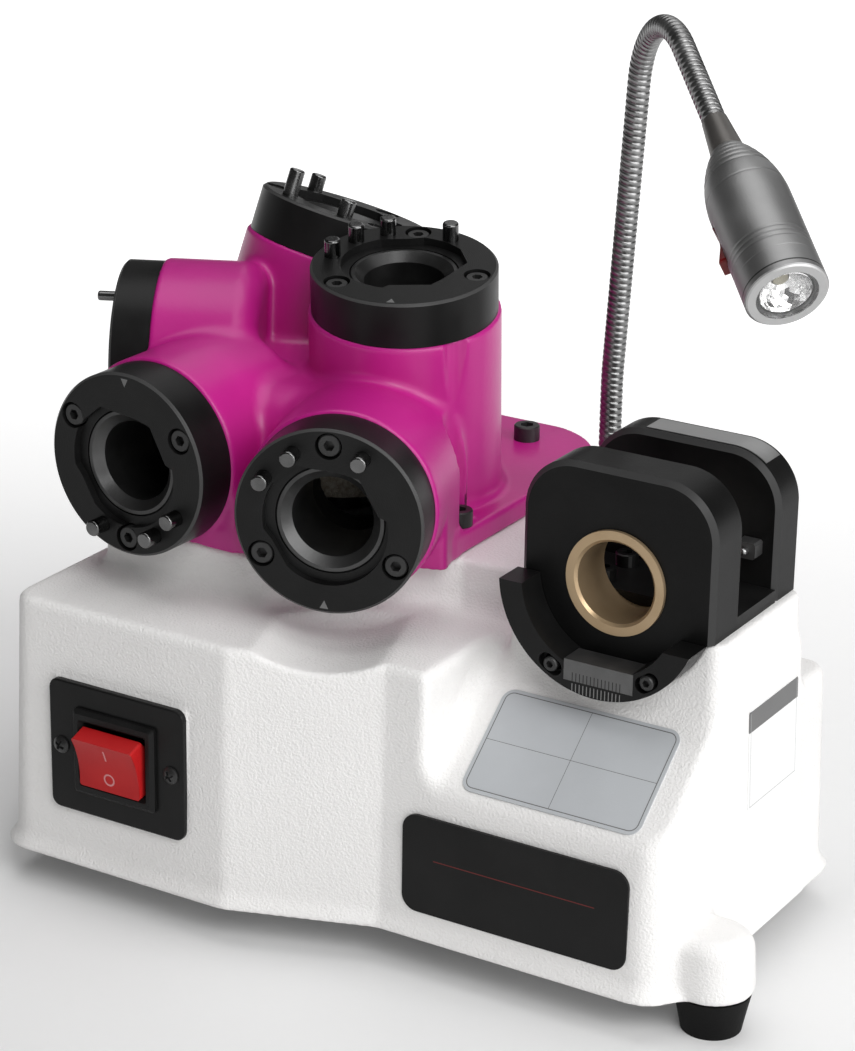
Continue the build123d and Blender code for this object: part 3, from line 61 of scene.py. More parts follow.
def to_frame(points):
    """Millimetres from the spindle's axis on the floor, as metres in the frame, whose origin is MIDDLE."""
    return (np.asarray(points, float) - MIDDLE) * MM


# %% [markdown]
# The camera stands where the photograph was taken: 31 degrees round to the right, 21 degrees above
# level and about a metre away, with a long lens. Its turn is three turns in a row, the last of which is
# the small roll of the picture.


# %% Camera
def turned(azimuth, lean, roll):
    """A turn about the upright, then one about the new X axis and one about the new Z axis, in degrees."""
    first, second, third = (math.radians(angle) for angle in (azimuth, lean, roll))
    return Matrix.Rotation(first, 4, "Z") @ Matrix.Rotation(second, 4, "X") @ Matrix.Rotation(third, 4, "Z")


IMAGE_H, FOCAL_PX, SHIFT_X_PX, SHIFT_Y_PX = 1051, 3242.3, 3.92, 7.69
AZIMUTH, ELEVATION, ROLL, DISTANCE = 31.22, 20.99, 0.88, 1.00378
TARGET = Vector(to_frame((40, -15, 111)))
camera = bpy.data.objects.new("camera", bpy.data.cameras.new("camera"))
camera.data.lens = FOCAL_PX * camera.data.sensor_width / IMAGE_H
camera.data.shift_x = SHIFT_X_PX / IMAGE_H
camera.data.shift_y = SHIFT_Y_PX / IMAGE_H
camera_turn = turned(AZIMUTH, 90 - ELEVATION, ROLL)
camera.matrix_world = Matrix.Translation(TARGET) @ camera_turn @ Matrix.Translation((0, 0, DISTANCE))
bpy.context.scene.collection.objects.link(camera)
bpy.context.scene.camera = camera
bpy.context.scene.view_settings.view_transform = "Standard"
print("camera at", [round(v, 3) for v in camera.matrix_world.translation], "lens", round(camera.data.lens, 1))

# %% [markdown]
# In the photograph the right side is bright and the left side is grey. Five soft area lights do this,
# each aimed at the object: two strong ones on the right, a weak one low in front, a broad one overhead
# and a weak one behind. The room itself is almost dark, so that black metal stays black.

# %% Lights
LIGHTS = {
    "key_light": ((1.3, -1.2, 1.6), 1.0, 20),
    "right_light": ((1.7, -0.2, 0.8), 1.2, 20),
    "low_light": ((1.1, -1.1, 0.45), 0.8, 2.2),
    "top_light": ((0.0, 0.1, 1.9), 1.6, 15),
    "back_light": ((-0.4, 1.8, 1.3), 1.4, 4),
}
ROOM_COLOUR, ROOM_STRENGTH = (1.0, 0.99, 0.98, 1), 0.07
for name, (place, size, watts) in LIGHTS.items():
    light = bpy.data.objects.new(name, bpy.data.lights.new(name, "AREA"))
    light.data.size = size
    light.data.energy = watts
    light.location = place
    light.rotation_euler = (TARGET - Vector(place)).to_track_quat("-Z", "Y").to_euler()
    bpy.context.scene.collection.objects.link(light)
world = bpy.data.worlds.new("dim_room")
world.use_nodes = True
world.node_tree.nodes["Background"].inputs["Color"].default_value = ROOM_COLOUR
world.node_tree.nodes["Background"].inputs["Strength"].default_value = ROOM_STRENGTH
bpy.context.scene.world = world
print(len(LIGHTS), "soft lights and a dim room")

# %% [markdown]
# Every finish below is made of nodes. A base colour drifts a little between two shades, the gloss
# drifts with it, and a fine grain stands up in the bump. One function lays out these nodes, and each
# finish gives its own shades, gloss and grain sizes. Scales are per metre, on Object coordinates.


# %% Finish helper
CLOUD_ENDS, SHEEN_ENDS = (0.35, 0.65), (0.3, 0.7)


def plug(look, socket, value):
    """Give a socket a value, or a link where the value is the output of a node."""
    if isinstance(value, bpy.types.NodeSocket):
        look.node_tree.links.new(value, socket)
    else:
        socket.default_value = value


def feed(look, made, **values):
    """Plug values into the sockets of a node by name."""
    for socket, value in values.items():
        plug(look, made.inputs[socket.replace("_", " ")], value)
    return made


def make_node(look, kind, **values):
    """A new node in a finish, with values in its sockets."""
    return feed(look, look.node_tree.nodes.new("ShaderNode" + kind), **values)


def local_spot(look, centre, turn, scale=1.0):
    """The Object coordinates of a spot, from a centre, along turned axes and in units of scale."""
    spot = make_node(look, "TexCoord").outputs["Object"]
    mapping = make_node(look, "Mapping", Vector=spot, Location=centre, Rotation=turn, Scale=[scale] * 3)
    mapping.vector_type = "TEXTURE"
    return mapping.outputs[0]


def finish(name, shades, gloss, metal=0.0, drift=30, grain=900, depth=1e-4, specular=0.5,
           centre=(0, 0, 0), turn=(0, 0, 0), rings=0.0, ring_depth=0.0, **sockets):
    """A Principled finish: noise of size 1/drift moves the colour between two shades and the roughness
    between two values, finer noise of size 1/grain lifts the surface by depth, and rings adds turned
    lines."""
    look = bpy.data.materials.new(name)
    look.use_nodes = True
    spot = local_spot(look, centre, turn)
    cloud = make_node(look, "TexNoise", Vector=spot, Scale=drift, Detail=4).outputs["Fac"]
    ramp = make_node(look, "ValToRGB", Fac=cloud)
    for element, position, shade in zip(ramp.color_ramp.elements, CLOUD_ENDS, shades):
        element.position, element.color = position, (*shade, 1)
    sheen = make_node(look, "MapRange", Value=cloud, From_Min=SHEEN_ENDS[0], From_Max=SHEEN_ENDS[1])
    feed(look, sheen, To_Min=gloss[0], To_Max=gloss[1])
    fine = make_node(look, "TexNoise", Vector=spot, Scale=grain, Detail=2).outputs["Fac"]
    bump = make_node(look, "Bump", Height=fine, Strength=1.0, Distance=depth)
    if rings:
        wave = make_node(look, "TexWave", Vector=spot, Scale=rings, Distortion=0.6, Detail=1)
        wave.wave_type, wave.rings_direction = "RINGS", "Z"
        lines = wave.outputs["Fac"]
        bump = make_node(look, "Bump", Height=lines, Normal=bump.outputs[0], Distance=ring_depth)
    shader = look.node_tree.nodes["Principled BSDF"]
    feed(look, shader, Base_Color=ramp.outputs[0], Roughness=sheen.outputs[0], Normal=bump.outputs[0])
    feed(look, shader, Metallic=metal, Specular_IOR_Level=specular, **sockets)
    return look


def grey(value, tint=0.0):
    """A neutral shade, a little warmer or cooler by tint."""
    return (value * (1 + tint), value, value * (1 - tint))


def greys(dark, pale, tint=0.0):
    """Two neutral shades for a finish to drift between."""
    return grey(dark, tint), grey(pale, tint)


print("finish tools ready")

# %% [markdown]
# Printed lines, marks and scales are laid over a finish by arithmetic on the coordinates of a spot. A
# mask is one inside a rectangle, a ring or a triangle and nought elsewhere, and it mixes a second
# shade into the colour.


# %% Masks
def reckon(look, operation, *values):
    """One step of arithmetic in a finish, on outputs of nodes or on numbers."""
    step = make_node(look, "Math")
    step.operation = operation
    for socket, value in zip(step.inputs, values):
        plug(look, socket, value)
    return step.outputs[0]


def distance(look, u, v):
    """The distance of a spot from nought in two coordinates: the root of the sum of their squares."""
    squares = [reckon(look, "MULTIPLY", part, part) for part in (u, v)]
    return reckon(look, "SQRT", reckon(look, "ADD", *squares))


def places(look, centre, turn=(0, 0, 0)):
    """The three coordinates of a spot in a finish, from a centre in millimetres and along turned axes."""
    return make_node(look, "SeparateXYZ", Vector=local_spot(look, to_frame(centre), turn, MM)).outputs[:]


def box_mask(look, u, v, middle, half):
    """One inside a rectangle of two coordinates, and nought outside it."""
    return reckon(look, "MULTIPLY", reckon(look, "COMPARE", u, middle[0], half[0]),
                  reckon(look, "COMPARE", v, middle[1], half[1]))


def lay_over(look, mask, shade):
    """Put a shade over the colour of a finish where the mask is one."""
    colour = look.node_tree.nodes["Principled BSDF"].inputs["Base Color"]
    mix = make_node(look, "Mix")
    mix.data_type = "RGBA"
    factor, below, above = mix.inputs[0], mix.inputs[6], mix.inputs[7]
    plug(look, factor, mask)
    plug(look, below, colour.links[0].from_socket)
    plug(look, above, (*shade, 1))
    plug(look, colour, mix.outputs[2])


print("mask tools ready")

# %% [markdown]
# The record's material slots give each node its finish. Colours are linear values chosen to render
# like the photograph: warm white, deep magenta, near-black anodised metal and satin greys. The
# rows after the slots serve single pieces. A row gives the two shades, the range of gloss, the share of
# metal, the drift, the grain and its depth in metres, and the mirror strength where it isn't a half.

# %% Finishes by slot
LOOKS = {
    "white_coat": (greys(0.80, 0.84, 0.012), (0.5, 0.62), 0.0, 14, 1300, 3e-4),
    "magenta_paint": (((0.45, 0.007, 0.205), (0.50, 0.010, 0.23)), (0.36, 0.46), 0.0, 25, 420, 5e-5),
    "black_anodised": (greys(0.005, 0.008), (0.36, 0.46), 0.0, 60, 2500, 3e-5, 0.2),
    "black_steel": (greys(0.012, 0.02), (0.3, 0.45), 0.0, 120, 1800, 3e-5),
    "plain_steel": (greys(0.33, 0.42), (0.28, 0.42), 1.0, 150, 1600, 3e-5),
    "zinc_steel": ((grey(0.42, -0.01), grey(0.52, 0.01)), (0.3, 0.48), 1.0, 90, 700, 3e-5),
    "cast_iron": (greys(0.10, 0.16), (0.5, 0.7), 0.6, 60, 900, 2e-4),
    "abrasive": (((0.20, 0.17, 0.13), (0.34, 0.31, 0.26)), (0.7, 0.9), 0.0, 900, 2500, 4e-4),
    "bronze": (((0.42, 0.30, 0.175), (0.50, 0.37, 0.23)), (0.28, 0.38), 0.65, 40, 2200, 2e-5),
    "rubber": (greys(0.006, 0.010), (0.55, 0.7), 0.0, 80, 1500, 1e-4, 0.1),
    "black_plastic": (greys(0.006, 0.009), (0.38, 0.5), 0.0, 70, 1800, 5e-5, 0.2),
    "red_plastic": (((0.46, 0.012, 0.014), (0.55, 0.018, 0.018)), (0.2, 0.3), 0.0, 60, 900, 2e-5),
    "panel_grey": (greys(0.46, 0.50, -0.02), (0.35, 0.45), 0.0, 40, 1500, 2e-5),
    "panel_black": (greys(0.006, 0.009), (0.3, 0.4), 0.0, 50, 1500, 2e-5, 0.18),
    "neck_chrome": (greys(0.22, 0.30), (0.28, 0.4), 1.0, 160, 1500, 2e-5),
    "lamp_alu": (greys(0.26, 0.31), (0.4, 0.5), 0.9, 70, 2600, 4e-5),
    "lamp_bright": (greys(0.35, 0.40), (0.36, 0.46), 0.9, 70, 2600, 3e-5),
    "clear": (greys(0.93, 0.96), (0.02, 0.05), 0.0, 50, 900, 5e-6),
    "reflector": (greys(0.72, 0.82), (0.05, 0.1), 1.0, 60, 1500, 1e-5),
    "led": (((0.52, 0.48, 0.36), (0.62, 0.58, 0.45)), (0.3, 0.5), 0.0, 300, 3000, 3e-5),
    "capacitor": (greys(0.55, 0.62), (0.3, 0.4), 0.0, 40, 900, 3e-5),
    # Near-black for the unpainted faces inside the head's bores and chamber: painted shade.
    "shaded_inside": (greys(0.010, 0.018), (0.5, 0.7), 0.0, 60, 900, 1e-4, 0.2),
    "pin_steel": (greys(0.12, 0.18), (0.16, 0.26), 1.0, 150, 1600, 2e-5),
    "sleeve_steel": (greys(0.06, 0.09), (0.3, 0.42), 0.9, 80, 1800, 2e-5),
    "sleeve_grey": (greys(0.10, 0.13, 0.06), (0.36, 0.46), 0.6, 80, 1800, 3e-5),
    "rocker_red": (((0.40, 0.010, 0.012), (0.47, 0.015, 0.016)), (0.3, 0.4), 0.0, 60, 900, 2e-5, 0.18),
    "lamp_red": (((0.12, 0.004, 0.005), (0.16, 0.006, 0.007)), (0.25, 0.35), 0.0, 60, 900, 2e-5, 0.25),
    "console_film": (greys(0.45, 0.49, -0.04), (0.35, 0.45), 0.0, 40, 1500, 2e-5),
    "side_film": (greys(0.78, 0.82), (0.4, 0.5), 0.0, 40, 1500, 2e-5),
    "gauge_black": (greys(0.005, 0.008), (0.34, 0.44), 0.0, 50, 2200, 3e-5, 0.14),
    "cradle_black": (greys(0.005, 0.008), (0.34, 0.44), 0.0, 50, 2200, 3e-5, 0.2),
    "scale_steel": (greys(0.10, 0.14), (0.35, 0.45), 0.8, 90, 1500, 4e-5),
    "strip_silver": (greys(0.30, 0.36), (0.3, 0.42), 0.7, 70, 1500, 2e-5),
    "floor": (greys(0.78, 0.80), (0.55, 0.7), 0.0, 4, 200),
}
EXTRAS = {
    "magenta_paint": dict(Coat_Weight=0.15, Coat_Roughness=0.2),
    "red_plastic": dict(Coat_Weight=0.4, Coat_Roughness=0.1),
    "clear": dict(Transmission_Weight=1.0, IOR=1.49),
}
FINISH = {name: finish(name, *row, **EXTRAS.get(name, {})) for name, row in LOOKS.items()}
slot_of = {part["node"]: part["material_slot"] for part in frame["record"]["subparts"]}
for node, solid in frame["nodes"].items():
    solid.data.materials.clear()
    solid.data.materials.append(FINISH[slot_of[node]])


def wear(look, *nodes):
    """Give nodes a finish of their own instead of their slot's."""
    for node in nodes:
        frame["nodes"][node].data.materials[0] = look


print("finishes", len(FINISH), "on nodes", len(slot_of))

# %% [markdown]
# Castings have no sharp corners: walls lean for the mould, inner corners are coves and outer edges
# are rolled over. Lofts and bevels would need a patch for every meeting of tubes, so the two castings
# are written as distance fields instead. A field is a number on a three-way grid, below zero inside,
# and joining two fields with a round corner gives the fillet of the mould.


# %% Fields and their joints
def lattice(low, high, step):
    """The three axes of a grid of points between two corners, shaped so that they spread over each other."""
    axes = [np.arange(a, b + step, step, dtype=np.float32) for a, b in zip(low, high)]
    return axes[0][:, None, None], axes[1][None, :, None], axes[2][None, None, :]


def join(a, b, r):
    """Union of two fields with a cove of radius r: the nearer field, rounded where both lie within r."""
    return np.maximum(r, np.minimum(a, b)) - np.hypot(np.maximum(r - a, 0), np.maximum(r - b, 0))


def meet(a, b, r):
    """Overlap of two fields with an edge of radius r: the farther field, rounded where both lie within r."""
    return np.minimum(-r, np.maximum(a, b)) + np.hypot(np.maximum(r + a, 0), np.maximum(r + b, 0))


def plan(x, y, corners, r):
    """Distance to a closed outline in plan, with its corners rounded to r: for every side the distance to
    that stretch, the least of them, with its sign from counting the sides that a ray crosses."""
    shrunk = shrink(np.array(corners, np.float32), r)
    least = np.full(np.broadcast(x, y).shape, np.inf, np.float32)
    inside = np.zeros(least.shape, bool)
    for (ax, ay), (bx, by) in zip(shrunk, np.roll(shrunk, -1, axis=0)):
        run_x, run_y = bx - ax, by - ay
        along = np.clip(((x - ax) * run_x + (y - ay) * run_y) / (run_x ** 2 + run_y ** 2), 0, 1)
        least = np.minimum(least, np.hypot(x - ax - along * run_x, y - ay - along * run_y))
        if ay != by:
            crossed = ((ay > y) != (by > y)) & (x < ax + (y - ay) * run_x / run_y)
            inside ^= crossed
    return np.where(inside, -least, least) - r


def shrink(corners, r):
    """The outline moved inwards by r: each corner goes along the sum of its two sides' inward normals,
    divided by one plus their product."""
    side = np.roll(corners, -1, axis=0) - corners
    side /= np.linalg.norm(side, axis=1, keepdims=True)
    inward = np.stack([-side[:, 1], side[:, 0]], axis=1)
    before = np.roll(inward, 1, axis=0)
    return corners + r * (inward + before) / (1 + (inward * before).sum(1, keepdims=True))


def tube(x, y, z, point, axis):
    """Distance from a straight line, and the distance along it from the point."""
    px, py, pz = x - point[0], y - point[1], z - point[2]
    along = px * axis[0] + py * axis[1] + pz * axis[2]
    off = np.sqrt(np.maximum(px * px + py * py + pz * pz - along * along, 0))
    return off, along


def block(x, y, z, middle, half):
    """An upright block: the largest of the distances past its half sizes."""
    past = [np.abs(at - mid) - size for at, mid, size in zip((x, y, z), middle, half)]
    return np.maximum(np.maximum(past[0], past[2]), past[1])


def heading(azimuth, rise):
    """A unit vector from a heading in plan and a rise above level, in degrees."""
    a, e = math.radians(azimuth), math.radians(rise)
    return np.array([math.cos(e) * math.cos(a), math.cos(e) * math.sin(a), math.sin(e)])


print("field tools ready")

# %% [markdown]
# A field becomes a mesh by surface nets. Every grid cell that the zero level crosses gets one point,
# at the mean of the crossings on its edges, and every crossed grid edge gets one four-sided face.
# On a flat wall the points are exactly flat, so a collapse can thin them, and the normals are then
# read from the field's own slope, which keeps walls flat and coves smooth.


# %% From field to mesh
SLOPE_REACH, BORE_REACH = 0.7, 0.5


def surface_net(field, low, step):
    """Points and faces of the zero level. The mean of the edge crossings in each cell is its point."""
    inside = field < 0
    size = np.array(field.shape) - 1
    offsets = [(i, j, k) for i in (0, 1) for j in (0, 1) for k in (0, 1)]
    count = sum(inside[i:size[0] + i, j:size[1] + j, k:size[2] + k].astype(np.int8) for i, j, k in offsets)
    cell = (count > 0) & (count < 8)
    place = np.argwhere(cell)
    number = np.full(cell.shape, -1, np.int32)
    number[cell] = np.arange(len(place))
    total = np.zeros((len(place), 3))
    hits = np.zeros((len(place), 1))
    unit = np.eye(3, dtype=int)
    faces = []
    for axis in range(3):
        u, v = [a for a in range(3) if a != axis]
        for du, dv in np.ndindex(2, 2):
            start = du * unit[u] + dv * unit[v]
            f0 = field[tuple((place + start).T)]
            f1 = field[tuple((place + start + unit[axis]).T)]
            crossed = (f0 < 0) != (f1 < 0)
            spot = np.tile(start.astype(float), (len(place), 1))
            spot[:, axis] = f0 / np.where(crossed, f0 - f1, 1)
            total += np.where(crossed[:, None], spot, 0)
            hits += crossed[:, None]
        span = [slice(1, -1)] * 3
        span[axis] = slice(0, -1)
        ahead = list(span)
        ahead[axis] = slice(1, None)
        first, second = inside[tuple(span)], inside[tuple(ahead)]
        edge = np.argwhere(first != second)
        leaving = first[tuple(edge.T)]
        edge[:, [u, v]] += 1
        ring = []
        for du, dv in ((1, 1), (0, 1), (0, 0), (1, 0)):
            ring.append(number[tuple((edge - du * unit[u] - dv * unit[v]).T)])
        quad = np.stack(ring, axis=1)
        keep_order = leaving if axis != 1 else ~leaving
        faces.append(np.where(keep_order[:, None], quad, quad[:, ::-1]))
    return np.array(low) + (place + total / hits) * step, np.concatenate(faces)


def read_field(field, low, step, points):
    """The field at free points, between the eight nearest grid values."""
    at = (points - np.array(low)) / step
    base = np.clip(np.floor(at).astype(int), 0, np.array(field.shape) - 2)
    part = at - base
    value = np.zeros(len(points))
    for corner in np.ndindex(2, 2, 2):
        weight = np.prod(np.where(np.array(corner) == 1, part, 1 - part), axis=1)
        value += weight * field[tuple((base + corner).T)]
    return value


def put_mesh(name, points, faces, finishes, smooth=True):
    """A mesh object from arrays of points in millimetres and of faces."""
    mesh = bpy.data.meshes.new(name)
    mesh.from_pydata(to_frame(points), [], [list(map(int, face)) for face in faces])
    mesh.polygons.foreach_set("use_smooth", np.full(len(mesh.polygons), smooth))
    for item in finishes:
        mesh.materials.append(item)
    piece = bpy.data.objects.new(name, mesh)
    bpy.context.scene.collection.objects.link(piece)
    return piece


def cast_skin(name, field, low, step, share, look, bored=None, inside_look=None):
    """The skin of a field in millimetres: its surface net thinned to a share of its triangles, with normals
    from the slope of the field. Where a field of bores is given, the faces on it get a second look."""
    points, faces = surface_net(field, low, step)
    rough = put_mesh(name + "_net", points, faces, [])
    thin = rough.modifiers.new("thin", "DECIMATE")
    thin.ratio = share
    thin.use_collapse_triangulate = True
    mesh = bpy.data.meshes.new_from_object(rough.evaluated_get(bpy.context.evaluated_depsgraph_get()))
    bpy.data.objects.remove(rough)
    mesh.name = name
    spots = np.empty(3 * len(mesh.vertices))
    mesh.vertices.foreach_get("co", spots)
    spots = spots.reshape(-1, 3) / MM + MIDDLE
    reach = SLOPE_REACH * step * np.eye(3)
    slope = np.stack([read_field(field, low, step, spots + e) - read_field(field, low, step, spots - e)
                      for e in reach], axis=1)
    slope /= np.maximum(np.linalg.norm(slope, axis=1, keepdims=True), 1e-9)
    mesh.polygons.foreach_set("use_smooth", np.ones(len(mesh.polygons), bool))
    mesh.normals_split_custom_set_from_vertices(slope)
    mesh.materials.append(look)
    if bored is not None:
        mesh.materials.append(inside_look)
        centres = np.empty(3 * len(mesh.polygons))
        mesh.polygons.foreach_get("center", centres)
        depth = read_field(bored, low, step, centres.reshape(-1, 3) / MM + MIDDLE)
        mesh.polygons.foreach_set("material_index", (depth < BORE_REACH * step).astype(np.int32))
    piece = bpy.data.objects.new(name, mesh)
    bpy.context.scene.collection.objects.link(piece)
    print(name, "from", len(faces), "faces to", len(mesh.polygons), "triangles")
    return piece


print("mesh tools ready")

# %% [markdown]
# The base is one hollow casting. Its walls lean by almost two degrees and flare at the foot, a sloped
# console is cut out of its right front, a raised step carries the head and the gauge, and a scoop
# runs under the right front port. All of it is joined with coves, and a second field, the same one
# moved in by the wall, hollows it out. Flat pads stand behind the plates that are screwed to it.

# %% Base casting
BASE_LOW, LEDGE, SEAT, CAVITY_TOP, WALL = 12.0, 96.0, 111.0, 90.0, 6.0
BASE_STEP, BASE_SHARE = 1.25, 0.42
BASE_CORNERS = (-84.0, -104.5, 9.5), (184.0, 114.0, 114.0)
LEAN, LEAN_FROM, SEAT_LEAN_FROM = math.tan(math.radians(1.9)), 52.0, 103.0
FLARE, FLARE_FROM, FLARE_H = 2.9, 18.5, 5.0
WALL_PLAN = [(-61, -97), (21, -97), (67, -81), (161, -81), (161, 31), (118, 31), (88, 90), (-61, 90)]
WALL_CORNER = 9.0
SEAT_PLAN = [(-50, -60.8), (11, -60.8), (61.7, -27), (88, -26), (88, -46.4), (159.3, -46.4), (159.3, 8),
             (112, 8), (82, 83), (-50, 83)]
SEAT_CORNER, SEAT_EDGE, SEAT_COVE = 5.0, 1.6, 4.5
EDGE_R, TRIM_EDGE = 3.0, 1.0
FACET_X, FACET_Y, FACET_NORMAL_X, FACET_NORMAL_Y = 11, -60.8, 0.555, -0.832
SCOOP_R, SCOOP_SET_IN, SCOOP_END_R, SCOOP_EDGE = 42.0, 4.0, 5.0, 0.6
CONSOLE_X, CONSOLE_Y, CONSOLE_LOW, CONSOLE_COVE = 81, -81, 60.5, 7.0
CONSOLE_SLOPE = math.atan2(28.5, 34.6)
REAR_X, REAR_Y, REAR_LEDGE, REAR_COVE = 112, 8, 80, 5.0
LUGS = ((168.8, -62, 0), (-68.8, -55, 180), (125, 38.8, 90), (-38, 97.8, 90))
LUG_R, LUG_L, LUG_TAPER, LUG_TOP, LUG_DOME, LUG_COVE = 12.5, 13.8, 0.06, 31.5, 5.0, 4.0
PADS = (((-17.2, -94, 52), (24.5, 3, 21)), ((112.6, -78, 36.4), (37.2, 3, 15.3)),
        ((30, 87, 52), (24.5, 3, 13.5)))
WINDOWS = ((-17.2, -97, 52), (13.7, 12, 12.45)), ((30, 90, 52), (14.2, 12, 10.45))
BOTTOM_RECESS_TOP, BOTTOM_RECESS_IN, BOTTOM_EDGE = 14.55, 4.0, 2.4
SPINDLE_HOLE_R = 13.0
GAUGE_X, GAUGE_Z, GAUGE_SEAT_R, GAUGE_SEAT_Y, GAUGE_SEAT_EDGE = 124.5, 124, 31.6, -30.8, 0.7
PORTS = {
    "front_right": ((42.1, -72.5, 133.1), -72.3, 0.0, 45.0, 14.5),
    "front_left": ((-28.5, -76.0, 137.9), -92.7, 0.0, 45.0, 14.5),
    "left": ((-68.5, -21.4, 152.9), -154.7, 0.0, 33.0, 12.7),
    "rear_top": ((-22.8, 39.1, 192.6), 57.5, 71.6, 52.0, 14.5),
    "front_top": ((26.0, -5.7, 193.0), -66.9, 81.2, 75.0, 14.5),
}


def base_field(x, y, z):
    """Walls with lean and flare, cut by the scoop, the console and the rear ledge, then joined to the step,
    the lugs and the pads."""
    lean = LEAN * (z - LEAN_FROM)
    flare = FLARE * np.clip((FLARE_FROM - z) / FLARE_H, 0, 1) ** 2
    outer = plan(x, y, WALL_PLAN, WALL_CORNER) + lean - flare
    body = meet(outer, z - LEDGE, EDGE_R)
    port, azimuth = PORTS["front_right"][:2]
    off, _ = tube(x, y, z, port, heading(azimuth, 0))
    facet = (x - FACET_X) * FACET_NORMAL_X + (y - FACET_Y) * FACET_NORMAL_Y
    scoop = meet(off - SCOOP_R, SCOOP_SET_IN - facet, SCOOP_END_R)
    body = meet(body, -scoop, SCOOP_EDGE)
    slope = (z - CONSOLE_LOW) * math.cos(CONSOLE_SLOPE) - (y - CONSOLE_Y) * math.sin(CONSOLE_SLOPE)
    body = meet(body, join(slope, x - CONSOLE_X, CONSOLE_COVE), EDGE_R)
    rear = join(x - REAR_X, y - REAR_Y, REAR_COVE)
    rear = join(rear, z - REAR_LEDGE, REAR_COVE)
    body = meet(body, rear, EDGE_R)
    seat = plan(x, y, SEAT_PLAN, SEAT_CORNER) + LEAN * (z - SEAT_LEAN_FROM)
    body = join(body, meet(seat, z - SEAT, SEAT_EDGE), SEAT_COVE)
    body = meet(body, outer, TRIM_EDGE)
    for lug_x, lug_y, outward in LUGS:
        way = heading(outward, 0)
        along = np.clip((x - lug_x) * way[0] + (y - lug_y) * way[1], -LUG_L, 0)
        lug = np.hypot(x - lug_x - along * way[0], y - lug_y - along * way[1])
        lug = lug - LUG_R + LUG_TAPER * (z - BASE_LOW)
        body = join(body, meet(lug, z - LUG_TOP, LUG_DOME), LUG_COVE)
    for middle, half in PADS:
        body = np.minimum(body, block(x, y, z, middle, half))
    return body


x, y, z = lattice(*BASE_CORNERS, BASE_STEP)
body = base_field(x, y, z)
hollow = np.maximum(body + WALL, z - CAVITY_TOP)
recess = np.maximum(plan(x, y, WALL_PLAN, WALL_CORNER) + BOTTOM_RECESS_IN, z - BOTTOM_RECESS_TOP)
spindle = np.hypot(x, y) - SPINDLE_HOLE_R
gauge_seat, _ = tube(x, y, z, (GAUGE_X, 0, GAUGE_Z), (0, 1, 0))
gauge_seat = np.maximum(gauge_seat - GAUGE_SEAT_R, y - GAUGE_SEAT_Y)
windows = [block(x, y, z, middle, half) for middle, half in WINDOWS]
body = meet(body, BASE_LOW - z, BOTTOM_EDGE)
for cut in [hollow, recess, spindle, *windows]:
    body = np.maximum(body, -cut)
body = meet(body, -gauge_seat, GAUGE_SEAT_EDGE)
base_skin = cast_skin("base_skin", body, BASE_CORNERS[0], BASE_STEP, BASE_SHARE, FINISH["white_coat"])
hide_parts("base_housing")
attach(base_skin, "machine")

# %% [markdown]
# The head is one hollow casting too: five round nozzles that run into a domed body on a flat foot.
# Each nozzle is the distance from its axis, the two level ones stand on straight skirts, and all of
# them flow together over coves. Seats, bores and screw pockets are then taken out with sharp edges.
# The faces inside the bores and the chamber are left without magenta and made near-black: painted shade.

# %% Head casting
HEAD_STEP, HEAD_SHARE = 0.95, 0.5
HEAD_CORNERS = (-74.0, -83.0, 109.0), (66.0, 84.0, 200.0)
NOZZLE_R, NOZZLE_EDGE, NOZZLE_END_R, RING_R, RING_SINK = 29.8, 1.2, 8.0, 28.85, 0.2
FOOT_PLAN = [(-48, -60.5), (11, -60.5), (59.5, -30), (59.5, 80), (-48, 80)]
FOOT_CORNER, FOOT_TOP, FOOT_EDGE = 3.0, 118, 1.5
FOOT_RIGHT_X, FOOT_RIGHT_Y, FOOT_RIGHT_R = 29.5, 50, 30
FOOT_LEFT_X, FOOT_LEFT_Y, FOOT_LEFT_R = -33, 65, 15
DOME_R, DOME_TOP, DOME_EDGE, DOME_COVE = 47.5, 158, 14.0, 6.0
SKIRT_STARTS = {"front_right": 10.9, "front_left": 0.5}
SKIRT_L, SKIRT_EDGE, COVE = 40, 2.0, 3.0
CHAMBER_R, CHAMBER_TOP = 42.0, 149
SLEEVE_SEAT_R, SLEEVE_SEAT_L = 16.85, 28.05
PASSAGE_R, PASSAGE_L, PASSAGE_SHORT = 13.5, 50.0, 4.0
RING_SEAT_R = RING_R + 1.6
HEAD_SCREWS, HEAD_POCKET_R = ((54.4, -18.0), (32.3, 62.2), (-40.0, 71.0)), 5.45


def head_field(x, y, z):
    """Foot, domed body, nozzles and skirts, joined from the bottom up with coves."""
    foot = meet(plan(x, y, FOOT_PLAN, FOOT_CORNER), z - FOOT_TOP, FOOT_EDGE)
    right = np.hypot(np.maximum(x - FOOT_RIGHT_X, 0), np.maximum(y - FOOT_RIGHT_Y, 0)) - FOOT_RIGHT_R
    left = np.hypot(np.maximum(FOOT_LEFT_X - x, 0), np.maximum(y - FOOT_LEFT_Y, 0)) - FOOT_LEFT_R
    foot = np.maximum(np.maximum(foot, right), left)
    dome = meet(np.hypot(x, y) - DOME_R, z - DOME_TOP, DOME_EDGE)
    body = join(foot, dome, DOME_COVE)
    for name, (face, azimuth, rise, length, ring_t) in PORTS.items():
        off, along = tube(x, y, z, face, heading(azimuth, rise))
        barrel = meet(off - NOZZLE_R, along + ring_t - RING_SINK, NOZZLE_EDGE)
        barrel = meet(barrel, -along - ring_t - length, NOZZLE_END_R)
        if name in SKIRT_STARTS:
            side = heading(azimuth + 90, 0)
            across = np.abs((x - face[0]) * side[0] + (y - face[1]) * side[1]) - NOZZLE_R
            skirt = np.maximum(across, z - face[2])
            skirt = meet(skirt, along + ring_t + SKIRT_STARTS[name], SKIRT_EDGE)
            barrel = np.minimum(barrel, np.maximum(skirt, -along - ring_t - SKIRT_L))
        body = join(body, barrel, COVE)
    return body


